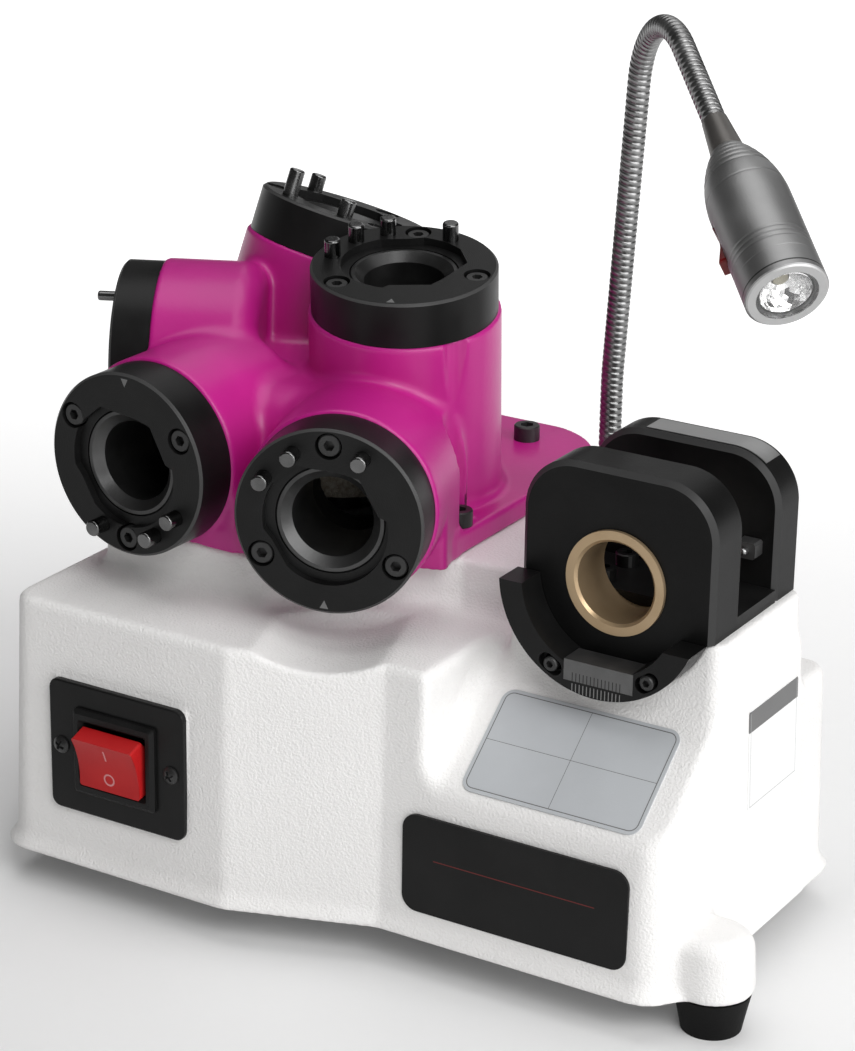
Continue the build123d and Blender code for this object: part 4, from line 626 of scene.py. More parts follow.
x, y, z = lattice(*HEAD_CORNERS, HEAD_STEP)
body = head_field(x, y, z)
bored = np.maximum(np.hypot(x, y) - CHAMBER_R, z - CHAMBER_TOP)
cuts = [z - SEAT]
for face, azimuth, rise, length, ring_t in PORTS.values():
    off, along = tube(x, y, z, face, heading(azimuth, rise))
    bored = np.minimum(bored, np.maximum(off - SLEEVE_SEAT_R, -along - SLEEVE_SEAT_L))
    reach = ring_t + min(PASSAGE_L, length - PASSAGE_SHORT)
    bored = np.minimum(bored, np.maximum(off - PASSAGE_R, np.abs(along + reach / 2) - reach / 2))
    cuts.append(np.maximum(off - RING_SEAT_R, -along - ring_t))
for screw_x, screw_y in HEAD_SCREWS:
    cuts.append(np.maximum(np.hypot(x - screw_x, y - screw_y) - HEAD_POCKET_R, FOOT_TOP - z))
for cut in [bored, *cuts]:
    body = np.maximum(body, -cut)
# The faces inside the bores and the chamber get the near-black finish, which is painted shade.
head_skin = cast_skin("head_skin", body, HEAD_CORNERS[0], HEAD_STEP, HEAD_SHARE, FINISH["magenta_paint"],
                      bored, FINISH["shaded_inside"])
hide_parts("head_casting")
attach(head_skin, "machine")

# %% [markdown]
# The port rings were turned and then blackened. Fine tool lines run round each face, and a paler line
# round the broken front edge is a painted highlight. Both follow the ring's own axis, so every ring gets
# a finish whose coordinates are centred on its face and turned along its axis. A small triangle on each
# face marks where the chuck is set.


# %% Port rings, sleeves and pins
def axis_turn(azimuth, rise, roll=0.0):
    """The turn that takes the Z axis to a heading, with the X axis rolled up from level, as three angles."""
    return turned(azimuth + 90, 90 - rise, roll).to_euler()


MARK_ANGLES = {"front_right": 267.5, "front_left": 90.0, "left": 90.0, "rear_top": 270.0, "front_top": 270.0}
MARK_R, MARK_HALF, MARK_DEEP, MARK_SPREAD, MARK_TIP = 26.0, 1.3, 0.3, 0.5, 12.35
HIGHLIGHT_RIM_W, HIGHLIGHT_RIM_DEEP = 0.75, 0.85
for name, (face, azimuth, rise, _, _) in PORTS.items():
    look = finish("ring_" + name, greys(0.005, 0.008), (0.34, 0.44), 0.0, 60, 2500, 2e-5, 0.22,
                  to_frame(face), axis_turn(azimuth, rise), rings=500.0, ring_depth=1.2e-5)
    u, v, w = places(look, face, axis_turn(azimuth, rise, MARK_ANGLES[name]))
    rim = reckon(look, "MULTIPLY", reckon(look, "GREATER_THAN", distance(look, u, v), RING_R - HIGHLIGHT_RIM_W),
                 reckon(look, "GREATER_THAN", w, -HIGHLIGHT_RIM_DEEP))
    # The paler rim round the front edge is a painted highlight.
    lay_over(look, rim, grey(0.05))
    slant = reckon(look, "MULTIPLY_ADD", u, MARK_SPREAD, -MARK_TIP)
    mark = reckon(look, "MULTIPLY", reckon(look, "LESS_THAN", reckon(look, "ABSOLUTE", v), slant),
                  box_mask(look, u, w, (MARK_R, 0.0), (MARK_HALF, MARK_DEEP)))
    lay_over(look, mark, grey(0.14))
    wear(look, "port_ring_" + name)
wear(FINISH["pin_steel"], "stop_pins")
wear(FINISH["sleeve_steel"], "port_sleeves")
print("ring finishes", len(PORTS))

# %% [markdown]
# The gooseneck is a wound steel hose, stiff enough to stay where it is bent. A wound hose has one long
# rib that climbs round it like a thread, so its radius depends on the length along the hose less a
# share of the angle round it. Its middle line rises, leans, runs straight, turns over and runs down to
# the lamp. It is two skins, split halfway between its two bends.

# %% Gooseneck
SEGMENTS, ROWS_PER_PITCH, BORE_ROW_L = 28, 12, 2.5
HOSE_ROOT_R, HOSE_RIB, HOSE_BORE_R, HOSE_PITCH, HOSE_TAIL_R = 3.05, 0.45, 1.8, 2.0, 2.6
HOSE_FOOT = np.array([81.5, 27.4, SEAT + 14.3])
HOSE_HEADING = -43.1
HOSE_START, HOSE_LEAN_FROM, HOSE_LEAN_R, HOSE_LEAN = -8.5, 29.0, 60.0, 8.6
HOSE_TURN_FROM, HOSE_TURN_R, HOSE_TURN, HOSE_LAST_L = 129.5, 25.0, 109.9, 31.0
HOSE_END = HOSE_TURN_FROM + math.radians(HOSE_TURN) * HOSE_TURN_R + HOSE_LAST_L
HOSE_STRIDE = 0.05
FIRST_BEND, SECOND_BEND, BEND_REACH, NUDGE = HOSE_TURN_FROM - 7.0, HOSE_END - 24.0, 10.0, 0.1
HOSE_SPLIT = (FIRST_BEND + SECOND_BEND) / 2
hose_ahead = heading(HOSE_HEADING, 0)
hose_side = heading(HOSE_HEADING - 90, 0)
hose_up = np.array([0.0, 0.0, 1.0])


def hose_line(length):
    """Points and slopes of the hose's middle line. The slope is upright less the turn of each arc that is
    already passed, and the points are the running sum of the directions."""
    def slope(at):
        lean = np.clip((at - HOSE_LEAN_FROM) / HOSE_LEAN_R, 0, math.radians(HOSE_LEAN))
        turn = np.clip((at - HOSE_TURN_FROM) / HOSE_TURN_R, 0, math.radians(HOSE_TURN))
        return math.pi / 2 - lean - turn

    fine = np.arange(HOSE_START, HOSE_END + NUDGE, HOSE_STRIDE)
    middle = slope(fine[:-1] + HOSE_STRIDE / 2)
    flat = np.concatenate([[0], np.cumsum(np.cos(middle)) * HOSE_STRIDE])
    rise = np.concatenate([[HOSE_START], HOSE_START + np.cumsum(np.sin(middle)) * HOSE_STRIDE])
    points = (HOSE_FOOT + np.interp(length, fine, flat)[:, None] * hose_ahead
              + np.interp(length, fine, rise)[:, None] * hose_up)
    return points, slope(length)


def grid_faces(rows, columns, wrap_rows=False):
    """Faces of a grid of points numbered row by row. Its columns close into rings, and its rows may too."""
    row = np.arange(rows if wrap_rows else rows - 1)[:, None]
    column = np.arange(columns)[None, :]
    after, beside = (row + 1) % rows, (column + 1) % columns
    return np.stack([row * columns + column, row * columns + beside,
                     after * columns + beside, after * columns + column], axis=-1).reshape(-1, 4)


def hose_skin(name, start, end):
    """A stretch of hose: outside, the radius swells once in each pitch of the winding, and inside it comes
    back along the bore, so that the skin is closed at both ends."""
    outside = np.linspace(start, end, int((end - start) / HOSE_PITCH * ROWS_PER_PITCH))
    inside = np.linspace(end, start, int((end - start) / BORE_ROW_L))
    length = np.concatenate([outside, inside])
    angle = np.linspace(0, 2 * math.pi, SEGMENTS, endpoint=False)
    winding = (length[:, None] / HOSE_PITCH - angle[None, :] / (2 * math.pi)) % 1.0
    radius = HOSE_ROOT_R + HOSE_RIB * (1 - np.abs(2 * winding - 1) ** 3)
    radius = np.where(length[:, None] < 0, HOSE_TAIL_R, radius)
    radius[len(outside):] = HOSE_BORE_R
    points, slope = hose_line(length)
    over = np.sin(slope)[:, None] * -hose_ahead + np.cos(slope)[:, None] * hose_up
    outward = np.cos(angle)[None, :, None] * hose_side + np.sin(angle)[None, :, None] * over[:, None, :]
    spots = points[:, None, :] + radius[:, :, None] * outward
    faces = grid_faces(len(length), SEGMENTS, True)[:, ::-1]
    piece = put_mesh(name, spots.reshape(-1, 3), faces, [FINISH["neck_chrome"]])
    print(name, len(piece.data.polygons), "faces")
    return piece


def hose_blend(piece, at):
    """Bake a stretch's place into its points. The middle line's points beside at are reckoned, but nothing
    uses them.
    """
    (start, end), _ = hose_line(np.array([at - NUDGE, at + NUDGE]))
    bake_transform(piece)


hose_lower = hose_skin("gooseneck_lower_skin", HOSE_START, HOSE_SPLIT)
hose_blend(hose_lower, FIRST_BEND)
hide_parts("gooseneck_lower", "gooseneck_bend")
hose_upper = hose_skin("gooseneck_upper_skin", HOSE_SPLIT, HOSE_END)
hose_blend(hose_upper, SECOND_BEND)
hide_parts("gooseneck_bend", "gooseneck_upper")

# %% [markdown]
# The lamp's body was turned on a lathe: a dome with a stack of grooves, a plain barrel and three more
# grooves near the front. Its radius is a function of the distance along the axis, and a groove takes a
# narrow bell-shaped bite out of it. The rocker sits in an opening, so the faces there are left out and
# a short wall is carried inwards around it.

# %% Lamp body
LAMP_R, LAMP_L, LAMP_NECK_R, LAMP_DOME, LAMP_DROOP = 11.6, 47.0, 4.9, 22.0, -28.5
LAMP_BORE_R, LAMP_FRONT_R, LAMP_SLEEVE_L = 1.8, 9.6, 13.0
LAMP_SWITCH_TURN = math.radians(30)
GROOVES = ([(2.2 + 2.3 * n, 0.32, 0.42) for n in range(5)] + [(18.0, 0.12, 0.25)]
           + [(39.6 + 1.7 * n, 0.2, 0.3) for n in range(3)])
LAMP_ROCKER_AT, OPENING_HALF_L, OPENING_HALF_W, OPENING_WALL = 31.5, 7.3, 3.8, 2.0
OPENING_FROM, OPENING_TO = LAMP_ROCKER_AT - OPENING_HALF_L, LAMP_ROCKER_AT + OPENING_HALF_L
BACK_ROWS, OPENING_ROWS, FRONT_ROWS, OPENING_COLUMNS, OTHER_COLUMNS = 90, 13, 40, 7, 58
lamp_axis = heading(HOSE_HEADING, LAMP_DROOP)
lamp_start = hose_line(np.array([HOSE_END]))[0][0] + LAMP_SLEEVE_L * lamp_axis
lamp_side = (math.cos(LAMP_SWITCH_TURN) * hose_side
             + math.sin(LAMP_SWITCH_TURN) * np.cross(lamp_axis, hose_side))
lamp_over = np.cross(lamp_axis, lamp_side)


def lamp_points(along, radius, angle):
    """Points round the lamp's axis, from the distance along it, the radius and the angle off the switch."""
    along, radius, angle = np.broadcast_arrays(along, radius, angle)
    return (lamp_start + along[..., None] * lamp_axis + (radius * np.cos(angle))[..., None] * lamp_side
            + (radius * np.sin(angle))[..., None] * lamp_over)


def lamp_radius(along):
    """The dome is an arc that meets the barrel without a corner, less the grooves."""
    arc_r = ((LAMP_R - LAMP_NECK_R) ** 2 + LAMP_DOME ** 2) / (2 * (LAMP_R - LAMP_NECK_R))
    back = np.maximum(LAMP_DOME - along, 0)
    radius = LAMP_R - arc_r + np.sqrt(arc_r ** 2 - back ** 2)
    for place, deep, wide in GROOVES:
        radius = radius - deep * np.exp(-((along - place) / wide) ** 2)
    return radius


opening_half = math.asin(OPENING_HALF_W / LAMP_R)
along = np.concatenate([[0], np.linspace(0, OPENING_FROM, BACK_ROWS),
                        np.linspace(OPENING_FROM, OPENING_TO, OPENING_ROWS)[1:],
                        np.linspace(OPENING_TO, LAMP_L, FRONT_ROWS)[1:], [LAMP_L]])
radius = lamp_radius(along)
radius[[0, -1]] = LAMP_BORE_R, LAMP_FRONT_R
angle = np.concatenate([np.linspace(-opening_half, opening_half, OPENING_COLUMNS),
                        np.linspace(opening_half, 2 * math.pi - opening_half, OTHER_COLUMNS)[1:-1]])
columns = len(angle)
skin = lamp_points(along[:, None], radius[:, None], angle).reshape(-1, 3)
middle = (along[:-1, None] + along[1:, None]) / 2
in_opening = (middle > OPENING_FROM) & (middle < OPENING_TO) & (np.arange(columns) < OPENING_COLUMNS - 1)
faces = grid_faces(len(along), columns)[~in_opening.reshape(-1)]
hole = np.arange(len(skin)).reshape(-1, columns)[BACK_ROWS:BACK_ROWS + OPENING_ROWS, :OPENING_COLUMNS]
rim = np.concatenate([hole[0], hole[1:, -1], hole[-1, -2::-1], hole[-2:0:-1, 0]])
inner = skin[rim] - OPENING_WALL * lamp_side
wall = len(skin) + np.arange(len(rim))
wall_faces = np.stack([rim, np.roll(rim, -1), np.roll(wall, -1), wall], axis=1)
lamp_skin = put_mesh("lamp_body_skin", np.concatenate([skin, inner]), np.concatenate([faces, wall_faces]),
                     [FINISH["lamp_alu"]])
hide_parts("lamp_housing")
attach(lamp_skin, "lamp")
print("lamp body", len(lamp_skin.data.polygons), "faces")

# %% [markdown]
# The lamp's bezel and sleeve keep their solids. The bezel's front is painted paler, a painted highlight
# for the light on it, with one dark line where it screws on to the body, and both are found by the
# distance along the lamp's axis. The sleeve is a warm grey.

# %% Lamp bezel and sleeve
BEZEL_HIGHLIGHT_FROM, BEZEL_LINE_AT, BEZEL_LINE_HALF = 54.6, 52.6, 0.25
bezel_look = finish("bezel_alu", *LOOKS["lamp_alu"])
_, _, ahead = places(bezel_look, lamp_start, axis_turn(HOSE_HEADING, LAMP_DROOP))
# The paler front of the bezel is a painted highlight.
lay_over(bezel_look, reckon(bezel_look, "GREATER_THAN", ahead, BEZEL_HIGHLIGHT_FROM), grey(0.5))
lay_over(bezel_look, reckon(bezel_look, "COMPARE", ahead, BEZEL_LINE_AT, BEZEL_LINE_HALF), grey(0.06))
wear(bezel_look, "lamp_bezel")
wear(FINISH["sleeve_grey"], "lamp_sleeve")
print("bezel and sleeve finished")

# %% [markdown]
# Behind the window is a pressed reflector: a bowl made of many small flat mirrors, each of which sends
# a little picture of the light source forwards. It is a bowl of rings and sectors with flat faces, with
# every second ring turned by half a sector.

# %% Reflector
rows, sectors = 7, 18
BOWL_BACK_R, BOWL_SPREAD, BOWL_POWER = 2.7, 4.8, 0.75
BOWL_FROM, BOWL_DEPTH, BOWL_T = LAMP_L + 0.3, 5.6, 0.3
depth = np.linspace(0, 1, rows)
bowl_r = BOWL_BACK_R + BOWL_SPREAD * depth ** BOWL_POWER
bowl_z = BOWL_FROM + BOWL_DEPTH * depth
turn = 2 * math.pi * (np.arange(sectors)[None, :] + 0.5 * (np.arange(rows)[:, None] % 2)) / sectors
bowl = lamp_points(bowl_z[:, None], bowl_r[:, None], turn)
row, sector = np.arange(rows - 1)[:, None], np.arange(sectors)[None, :]
beside = (sector + 1) % sectors
odd = row % 2 == 1
a, b = row * sectors + sector, row * sectors + beside
c, d = (row + 1) * sectors + sector, (row + 1) * sectors + beside
low_face = np.where(odd[..., None], np.stack([a, b, d], -1), np.stack([a, b, c], -1))
high_face = np.where(odd[..., None], np.stack([a, d, c], -1), np.stack([b, d, c], -1))
facets = np.concatenate([low_face.reshape(-1, 3), high_face.reshape(-1, 3)])
reflector = put_mesh("reflector_facets", bowl.reshape(-1, 3), facets, [FINISH["reflector"]], smooth=False)
shell = reflector.modifiers.new("shell", "SOLIDIFY")
shell.thickness, shell.offset = BOWL_T * MM, -1
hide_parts("lamp_reflector")
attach(reflector, "lamp")
print("reflector", len(facets), "facets")

# %% [markdown]
# The mains switch is a moulding, a frame with sloped edges round a well, on a thin black plate. Both
# are rows of rounded rectangles. The frame's go round the flange, over its slope and down into the
# well, and the plate's go over its broken front edge, in to the window and back, so that they close.

# %% Switch frame and plate
SWITCH_X, SWITCH_Z, SWITCH_FRONT = -17.2, 52.0, -101.2
FRAME_ROWS = [(13.5, 12.25, 1.0, 24.2), (13.5, 12.25, 1.0, 2.2), (15.2, 14.0, 1.2, 2.2),
              (15.2, 14.0, 1.2, 1.1), (14.0, 12.8, 1.0, 0.0), (12.7, 11.0, 0.9, 0.0),
              (11.5, 9.8, 0.5, 1.4), (11.5, 9.8, 0.5, 15.8)]
PLATE_HALF_W, PLATE_HALF_H, PLATE_CORNER, PLATE_BACK, PLATE_T = 25.0, 21.5, 3.2, -97.0, 2.0
PLATE_ROWS = [(0.0, 0.0), (0.0, 1.5), (0.15, 1.85), (0.5, PLATE_T), (9.8, PLATE_T), (9.8, 0.0)]
PLATE_WINDOW_IN, PLATE_WINDOW_CORNER = 8.0, 0.6


def round_box(half_w, half_h, corner, steps=6):
    """A rounded rectangle: for each corner a quarter circle about a point set in from both sides."""
    quarter = np.repeat(np.arange(4), steps)
    angle = np.tile(np.linspace(0, 90, steps), 4) + 90 * quarter
    across, above = np.array([1, -1, -1, 1])[quarter], np.array([1, 1, -1, -1])[quarter]
    return np.stack([across * (half_w - corner) + corner * np.cos(np.radians(angle)),
                     above * (half_h - corner) + corner * np.sin(np.radians(angle))], axis=1)


def on_switch(outline, y):
    """An outline of widths and heights round the switch's middle, set upright at a depth y."""
    return np.stack([SWITCH_X + outline[:, 0], np.full(len(outline), y), SWITCH_Z + outline[:, 1]], axis=1)


def stack(name, loops, look):
    """A closed piece from a row of outlines with the same count: faces run from each outline to the next,
    and a fan round the middle closes the first and the last."""
    loops = np.asarray(loops)
    rows, columns = loops.shape[:2]
    points = np.concatenate([loops.reshape(-1, 3), loops[[0, -1]].mean(axis=1)])
    ring = np.arange(columns)
    last = (rows - 1) * columns + ring
    fans = [(rows * columns, b, a) for a, b in zip(ring, np.roll(ring, -1))]
    fans += [(rows * columns + 1, a, b) for a, b in zip(last, np.roll(last, -1))]
    return put_mesh(name, points, [*grid_faces(rows, columns), *fans], [look], smooth=False)


loops = [on_switch(round_box(half_w, half_h, corner), SWITCH_FRONT + deep)
         for half_w, half_h, corner, deep in FRAME_ROWS]
switch_skin = stack("switch_frame_skin", loops, FINISH["black_plastic"])
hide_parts("switch_body")
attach(switch_skin, "machine")

loops = []
for inset, proud in PLATE_ROWS:
    outline = round_box(PLATE_HALF_W - inset, PLATE_HALF_H - min(inset, PLATE_WINDOW_IN),
                        max(PLATE_CORNER - inset, PLATE_WINDOW_CORNER))
    loops.append(on_switch(outline, PLATE_BACK - proud))
plate_skin = put_mesh("switch_plate_skin", np.concatenate(loops), grid_faces(len(loops), len(outline), True),
                      [FINISH["panel_black"]], smooth=False)
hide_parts("switch_plate")
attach(plate_skin, "machine")
print("switch frame", len(switch_skin.data.polygons), "and plate", len(plate_skin.data.polygons), "faces")

# %% [markdown]
# Two screws with low domed heads hold the plate. Each is a row of circles, from the tip of the shank
# up to the head's rim and then in to the middle of the dome, and a cross is pressed into the dome.

# %% Switch plate screws
SCREW_X, SCREW_R, SCREW_SHANK_R, SCREW_L = 20.5, 2.75, 1.5, 8.0
SCREW_DOME, SCREW_FALL, SCREW_MIDDLE_R, SCREW_ROWS, SCREW_COLUMNS = 1.7, 0.15, 0.1, 26, 64
CROSS_DEEP, CROSS_HALF_W, CROSS_HALF_L = 0.9, 0.45, 1.7
CROSS_SIDE, CROSS_END = 0.2, 0.25


def cross_screw(name, x, turn):
    """A domed screw: its head's height falls with the square of the radius, less a cross of two arms, and
    an arm is a soft step across its width times a soft step at its end."""
    def arm(along, beside):
        return (np.clip((CROSS_HALF_W - np.abs(beside)) / CROSS_SIDE, 0, 1)
                * np.clip((CROSS_HALF_L - np.abs(along)) / CROSS_END, 0, 1))

    angle = np.linspace(0, 2 * math.pi, SCREW_COLUMNS, endpoint=False)
    shank = [SCREW_MIDDLE_R, SCREW_SHANK_R, SCREW_SHANK_R, SCREW_R]
    radius = np.concatenate([shank, np.linspace(SCREW_R, SCREW_MIDDLE_R, SCREW_ROWS)])[:, None]
    along, beside = radius * np.cos(angle + turn), radius * np.sin(angle + turn)
    cross = np.maximum(arm(along, beside), arm(beside, along))
    proud = SCREW_DOME - SCREW_FALL * radius ** 2 - CROSS_DEEP * cross
    proud[:len(shank)] = np.array([-SCREW_L, -SCREW_L, 0, 0])[:, None]
    loops = np.stack([SWITCH_X + x + radius * np.cos(angle), PLATE_BACK - PLATE_T - proud,
                      SWITCH_Z + radius * np.sin(angle)], axis=-1)
    piece = stack(name, loops, FINISH["black_steel"])
    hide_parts("switch_plate_screws")
    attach(piece, "machine")
    print(name, len(piece.data.polygons), "faces")


cross_screw("switch_plate_screw_left", -SCREW_X, 0.5)
cross_screw("switch_plate_screw_right", SCREW_X, 1.1)

# %% [markdown]
# The red rocker is a stack across the switch. Its outline is its side view, a hollow front and a narrow
# back, set in at both ends by a quarter round. It rests tipped on its axle, and a bar and a ring are
# printed on the front.

# %% Mains rocker
ROCKER_HALF_W, ROCKER_HALF, ROCKER_TIP, ROCKER_AXLE = 11.2, 8.8, math.radians(14.0), 2.0
ROCKER_PROUD, ROCKER_HOLLOW, ROCKER_END_R, ROCKER_SHRINK = 2.3, 1.2, 0.7, 6.0
ROCKER_BACK = [(2.5, -9.25), (6.0, -3.5), (6.0, 3.5), (2.5, 9.25)]
PRINT_PINK, PRINT_HALF = (0.60, 0.25, 0.26), 0.28
RING_MARK_Z, RING_MARK_R, BAR_Z, BAR_HALF = -4.6, 1.75, 4.4, 2.0
bow = np.linspace(1, -1, 25)
front_view = np.stack([-ROCKER_PROUD - ROCKER_HOLLOW * bow ** 2, bow * ROCKER_HALF], axis=1)
side_view = np.concatenate([front_view, ROCKER_BACK])
centre_view = side_view.mean(axis=0)
loops = []
for sign in (-1, 1):
    for bend in np.radians(np.linspace(0, 90, 5)[::-sign]):
        share = ROCKER_END_R * (1 - math.sin(bend)) / ROCKER_SHRINK
        across = sign * (ROCKER_HALF_W - ROCKER_END_R + ROCKER_END_R * math.cos(bend))
        view = side_view * (1 - share) + centre_view * share
        loops.append(np.stack([np.full(len(view), across), view[:, 0] - ROCKER_AXLE, view[:, 1]], axis=1))
tilt = np.array(Matrix.Rotation(ROCKER_TIP, 3, "X"))
rocker_pivot = np.array([SWITCH_X, SWITCH_FRONT + ROCKER_AXLE, SWITCH_Z])
loops = rocker_pivot + np.asarray(loops) @ tilt.T
rocker_look = FINISH["rocker_red"]
u, v, w = places(rocker_look, rocker_pivot, (ROCKER_TIP, 0, 0))
ring_off = distance(rocker_look, u, reckon(rocker_look, "SUBTRACT", w, RING_MARK_Z))
lay_over(rocker_look, reckon(rocker_look, "COMPARE", ring_off, RING_MARK_R, PRINT_HALF), PRINT_PINK)
lay_over(rocker_look, box_mask(rocker_look, u, w, (0.0, BAR_Z), (PRINT_HALF, BAR_HALF)), PRINT_PINK)
rocker_skin = stack("switch_rocker_skin", loops, rocker_look)
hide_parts("switch_rocker")
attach(rocker_skin, "mains_rocker")
print("mains rocker", len(rocker_skin.data.polygons), "faces")

# %% [markdown]
# The lamp's own rocker is a smaller stack of the same kind, across the lamp's barrel. Its side view is
# tipped by a few degrees, and the outer outlines are drawn a little smaller to break the edges.

# %% Lamp rocker
LAMP_ROCKER_TIP, LAMP_ROCKER_HALF, LAMP_ROCKER_SINK = math.radians(8), 6.3, 1.8
LAMP_ROCKER_PROUD, LAMP_ROCKER_HOLLOW = 1.5, 1.2
LAMP_ROCKER_BACK = [(-1.2, 6.0), (-2.2, 1.6), (-2.2, -1.6), (-1.2, -6.0)]
LAMP_ROCKER_ROWS = [(-3.3, 0.88), (-3.0, 0.97), (-2.5, 1.0), (2.5, 1.0), (3.0, 0.97), (3.3, 0.88)]
bow = np.linspace(-1, 1, 17)
front_view = np.stack([LAMP_ROCKER_PROUD + LAMP_ROCKER_HOLLOW * bow ** 2, LAMP_ROCKER_HALF * bow], axis=1)
side_view = np.concatenate([front_view, LAMP_ROCKER_BACK])
tip_cos, tip_sin = math.cos(LAMP_ROCKER_TIP), math.sin(LAMP_ROCKER_TIP)
view_out = side_view[:, 0] * tip_cos + side_view[:, 1] * tip_sin
view_ahead = side_view[:, 1] * tip_cos - side_view[:, 0] * tip_sin
loops = []
for across, share in LAMP_ROCKER_ROWS:
    out = (LAMP_R - LAMP_ROCKER_SINK + share * view_out)[:, None] * lamp_side
    ahead = (LAMP_ROCKER_AT + share * view_ahead)[:, None] * lamp_axis
    loops.append(lamp_start + out + ahead - across * lamp_over)
lamp_rocker_skin = stack("lamp_rocker_skin", loops, FINISH["lamp_red"])
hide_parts("lamp_rocker")
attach(lamp_rocker_skin, "lamp_rocker")
print("lamp rocker", len(lamp_rocker_skin.data.polygons), "faces")

# %% [markdown]
# The panels are bare: the film on the console keeps only a border with round corners and a cross of
# ruled lines, and the black plate one thin red line. Lines are rectangles in the finish, measured from
# the panel's middle along its own axes.

# %% Front panels
FILM_HALF_W, FILM_HALF_H, FILM_CORNER, FILM_MIDDLE_UP, FILM_X = 28.2, 16.3, 2.6, 20.7, 121.3
LINE_HALF, BORDER_HALF, LINE_SHADE = 0.09, 0.16, grey(0.14)
NAME_PLATE_MIDDLE = (112.6, -82, 36.4)
PLATE_LINE_Z, PLATE_LINE_HALF, PLATE_LINE_RED = 2.2, 27.0, (0.13, 0.02, 0.018)
film = FINISH["console_film"]
middle = (FILM_X, CONSOLE_Y + FILM_MIDDLE_UP * math.cos(CONSOLE_SLOPE),
          CONSOLE_LOW + FILM_MIDDLE_UP * math.sin(CONSOLE_SLOPE))
u, v, _ = places(film, middle, (CONSOLE_SLOPE, 0, 0))
straight_w, straight_h = FILM_HALF_W - FILM_CORNER, FILM_HALF_H - FILM_CORNER
lines = [((0, 0), (FILM_HALF_W, LINE_HALF)), ((0, 0), (LINE_HALF, FILM_HALF_H))]
for sign in (1, -1):
    lines.append(((0, sign * FILM_HALF_H), (straight_w, BORDER_HALF)))
    lines.append(((sign * FILM_HALF_W, 0), (BORDER_HALF, straight_h)))
for centre, half in lines:
    lay_over(film, box_mask(film, u, v, centre, half), LINE_SHADE)
corner_u = reckon(film, "SUBTRACT", reckon(film, "ABSOLUTE", u), straight_w)
corner_v = reckon(film, "SUBTRACT", reckon(film, "ABSOLUTE", v), straight_h)
in_corner = reckon(film, "MULTIPLY", reckon(film, "GREATER_THAN", corner_u, 0.0),
                   reckon(film, "GREATER_THAN", corner_v, 0.0))
bend = reckon(film, "COMPARE", distance(film, corner_u, corner_v), FILM_CORNER, BORDER_HALF)
lay_over(film, reckon(film, "MULTIPLY", bend, in_corner), LINE_SHADE)
wear(film, "console_panel")

plate = finish("name_plate_black", *LOOKS["panel_black"])
u, _, w = places(plate, NAME_PLATE_MIDDLE)
lay_over(plate, box_mask(plate, u, w, (0, PLATE_LINE_Z), (PLATE_LINE_HALF, BORDER_HALF)), PLATE_LINE_RED)
wear(plate, "name_plate")
print("front panels ruled")

# %% [markdown]
# The film on the right wall has to lie on the leaning wall, so it is a thin stack of outlines whose
# points follow the wall. It has a grey band at the top and a fine border below.

# %% Side film
SIDE_X, SIDE_Y, SIDE_Z, SIDE_HALF_W, SIDE_HALF_H, SIDE_CORNER = 161, -12, 69, 16.3, 15.75, 0.8
SIDE_BAND = (0, 12.4), (SIDE_HALF_W, 3.3)
SIDE_ROWS, SIDE_MEAN_HALF = [(0.0, 0.02), (0.0, 0.25), (0.15, 0.35)], 16
SIDE_LINES = [((0, -14.9), (15.4, 0.1)), ((15.4, 0), (0.1, 15.0)), ((-15.4, 0), (0.1, 15.0))]
side_film = FINISH["side_film"]
_, v, w = places(side_film, (SIDE_X, SIDE_Y, SIDE_Z))
lay_over(side_film, box_mask(side_film, v, w, *SIDE_BAND), grey(0.13))
for centre, half in SIDE_LINES:
    lay_over(side_film, box_mask(side_film, v, w, centre, half), grey(0.35))
outline = round_box(SIDE_HALF_W, SIDE_HALF_H, SIDE_CORNER)
loops = []
for inset, lift in SIDE_ROWS:
    across, high = (outline * (1 - inset / SIDE_MEAN_HALF)).T
    wall_x = SIDE_X + lift - LEAN * (SIDE_Z + high - LEAN_FROM)
    loops.append(np.stack([wall_x, SIDE_Y + across, SIDE_Z + high], axis=1))
side_skin = stack("side_film_skin", loops, side_film)
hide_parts("side_panel")
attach(side_skin, "machine")
print("film of", len(side_skin.data.polygons), "faces on the right wall")

# %% [markdown]
# The gauge's plates are milled, blackened and then bevelled, and the bevels are painted a little paler,
# a painted highlight. A bevel is known by its normal, which leans by half a right angle from the front.
# The scale in the cradle and the cradle's lower edge carry cut lines at even steps. A bare silver strip
# lies on the rear plate's top: it is a stack of thin cross sections that run along the top and round the
# right corner.

# %% Gauge
BEVEL_NORMAL_Y, BEVEL_SPREAD = -0.7071, 0.12
SCALE_X, SCALE_Y, SCALE_PITCH, SCALE_LINE, SCALE_HALF_W, SCALE_SHIFT = 125.6, -58.3, 0.6, 0.14, 8.5, -0.8
STRIP_LEFT, STRIP_CORNER_X, STRIP_CORNER_Z, STRIP_R, STRIP_BEND = 110.0, 139, 139, 17, 38
STRIP_SECTION = [(5.4, 0.02), (5.4, 0.22), (-3.6, 0.22), (-3.6, 0.02)]
gauge_look, scale_look, cradle_look = FINISH["gauge_black"], FINISH["scale_steel"], FINISH["cradle_black"]
facing = make_node(gauge_look, "NewGeometry").outputs["True Normal"]
parts = make_node(gauge_look, "SeparateXYZ", Vector=facing)
bevel = reckon(gauge_look, "COMPARE", parts.outputs[1], BEVEL_NORMAL_Y, BEVEL_SPREAD)
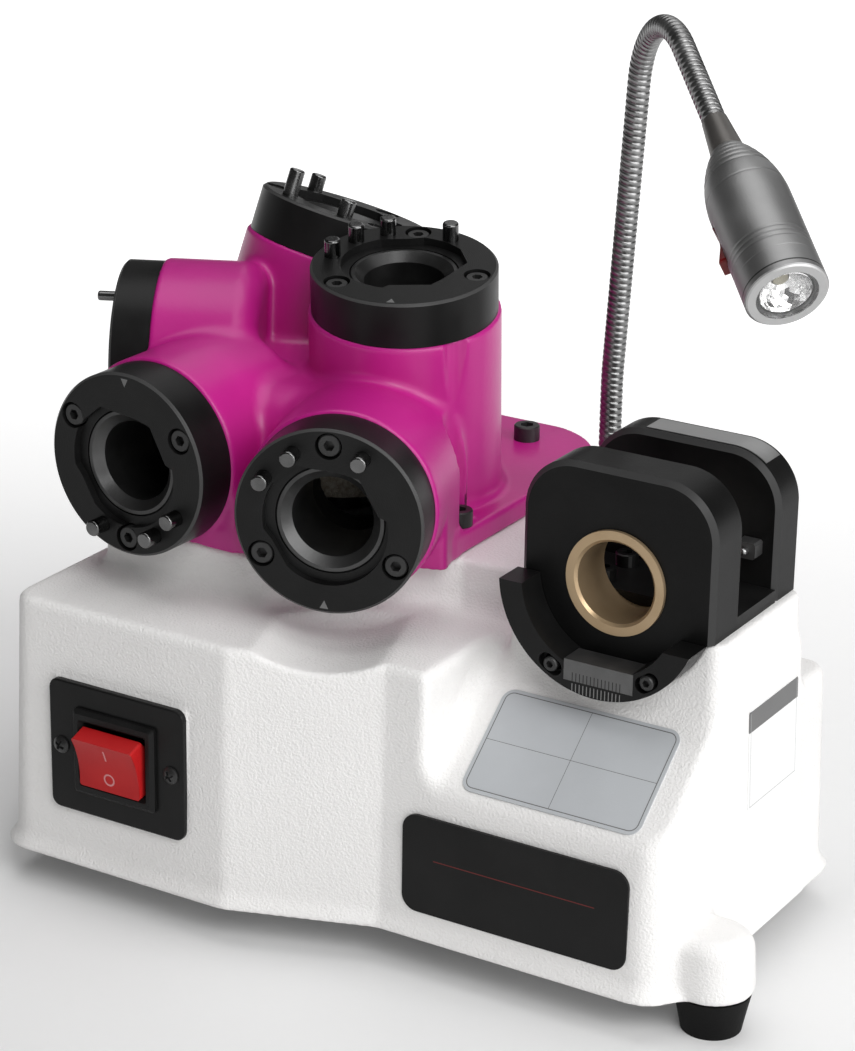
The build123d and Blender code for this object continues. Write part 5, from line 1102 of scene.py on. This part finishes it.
# The paler bevels are a painted highlight.
lay_over(gauge_look, bevel, grey(0.04))
wear(gauge_look, "gauge_front_plate", "gauge_rear_plate", "gauge_screws")
SCALE_ROWS = (scale_look, grey(0.03), 96.6, 1.6), (cradle_look, grey(0.22), 93.3, 1.5)
for look, shade, line_z, line_half in SCALE_ROWS:
    u, v, w = places(look, (SCALE_X, SCALE_Y, 0))
    line = reckon(look, "LESS_THAN", reckon(look, "PINGPONG", u, SCALE_PITCH), SCALE_LINE)
    reach = box_mask(look, u, w, (SCALE_SHIFT, line_z), (SCALE_HALF_W, line_half))
    lay_over(look, reckon(look, "MULTIPLY", line, reach), shade)
wear(scale_look, "cradle_scale", "finger_block")
wear(cradle_look, "gauge_cradle")
bends = np.radians(np.linspace(0, STRIP_BEND, 12))
deep, high = np.array(STRIP_SECTION).T
loops = []
for strip_x, lean in [(STRIP_LEFT, 0.0), *((STRIP_CORNER_X, bend) for bend in bends)]:
    loops.append(np.stack([strip_x + (STRIP_R + high) * math.sin(lean), deep,
                           STRIP_CORNER_Z + (STRIP_R + high) * math.cos(lean)], axis=1))
strip = stack("gauge_strip", loops, FINISH["strip_silver"])
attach(strip, "machine")
print("gauge bevels, scales and strip")

# %% [markdown]
# The floor is a wide pale sheet that glows by itself where it is behind the object or far away. That
# gives the white ground of the photograph and lets a soft shadow show near the feet.

# %% Floor
FLOOR_HALF, FLOOR_TURN = 25.0, math.radians(31)
GLOW_LEAST, GLOW_MOST, GLOW_PER_MM, GLOW_FAR_START = 0.05, 0.8, 0.001, -0.7
floor_finish = FINISH["floor"]
u, v, _ = places(floor_finish, (MIDDLE[0], MIDDLE[1], 0), (0, 0, FLOOR_TURN))
far_off = distance(floor_finish, u, v)
glow = reckon(floor_finish, "MAXIMUM", reckon(floor_finish, "MULTIPLY_ADD", v, GLOW_PER_MM, GLOW_LEAST),
              reckon(floor_finish, "MULTIPLY_ADD", far_off, GLOW_PER_MM, GLOW_FAR_START))
glow = reckon(floor_finish, "MINIMUM", reckon(floor_finish, "MAXIMUM", glow, GLOW_LEAST), GLOW_MOST)
shader = floor_finish.node_tree.nodes["Principled BSDF"]
feed(floor_finish, shader, Emission_Color=(1, 1, 1, 1), Emission_Strength=glow)
floor_mesh = bpy.data.meshes.new("floor")
corners = [(FLOOR_HALF * x, FLOOR_HALF * y, 0) for x, y in ((-1, -1), (1, -1), (1, 1), (-1, 1))]
floor_mesh.from_pydata(corners, [], [(0, 1, 2, 3)])
floor_mesh.materials.append(floor_finish)
floor = bpy.data.objects.new("floor", floor_mesh)
bpy.context.scene.collection.objects.link(floor)
print("floor of", 2 * FLOOR_HALF, "metres")
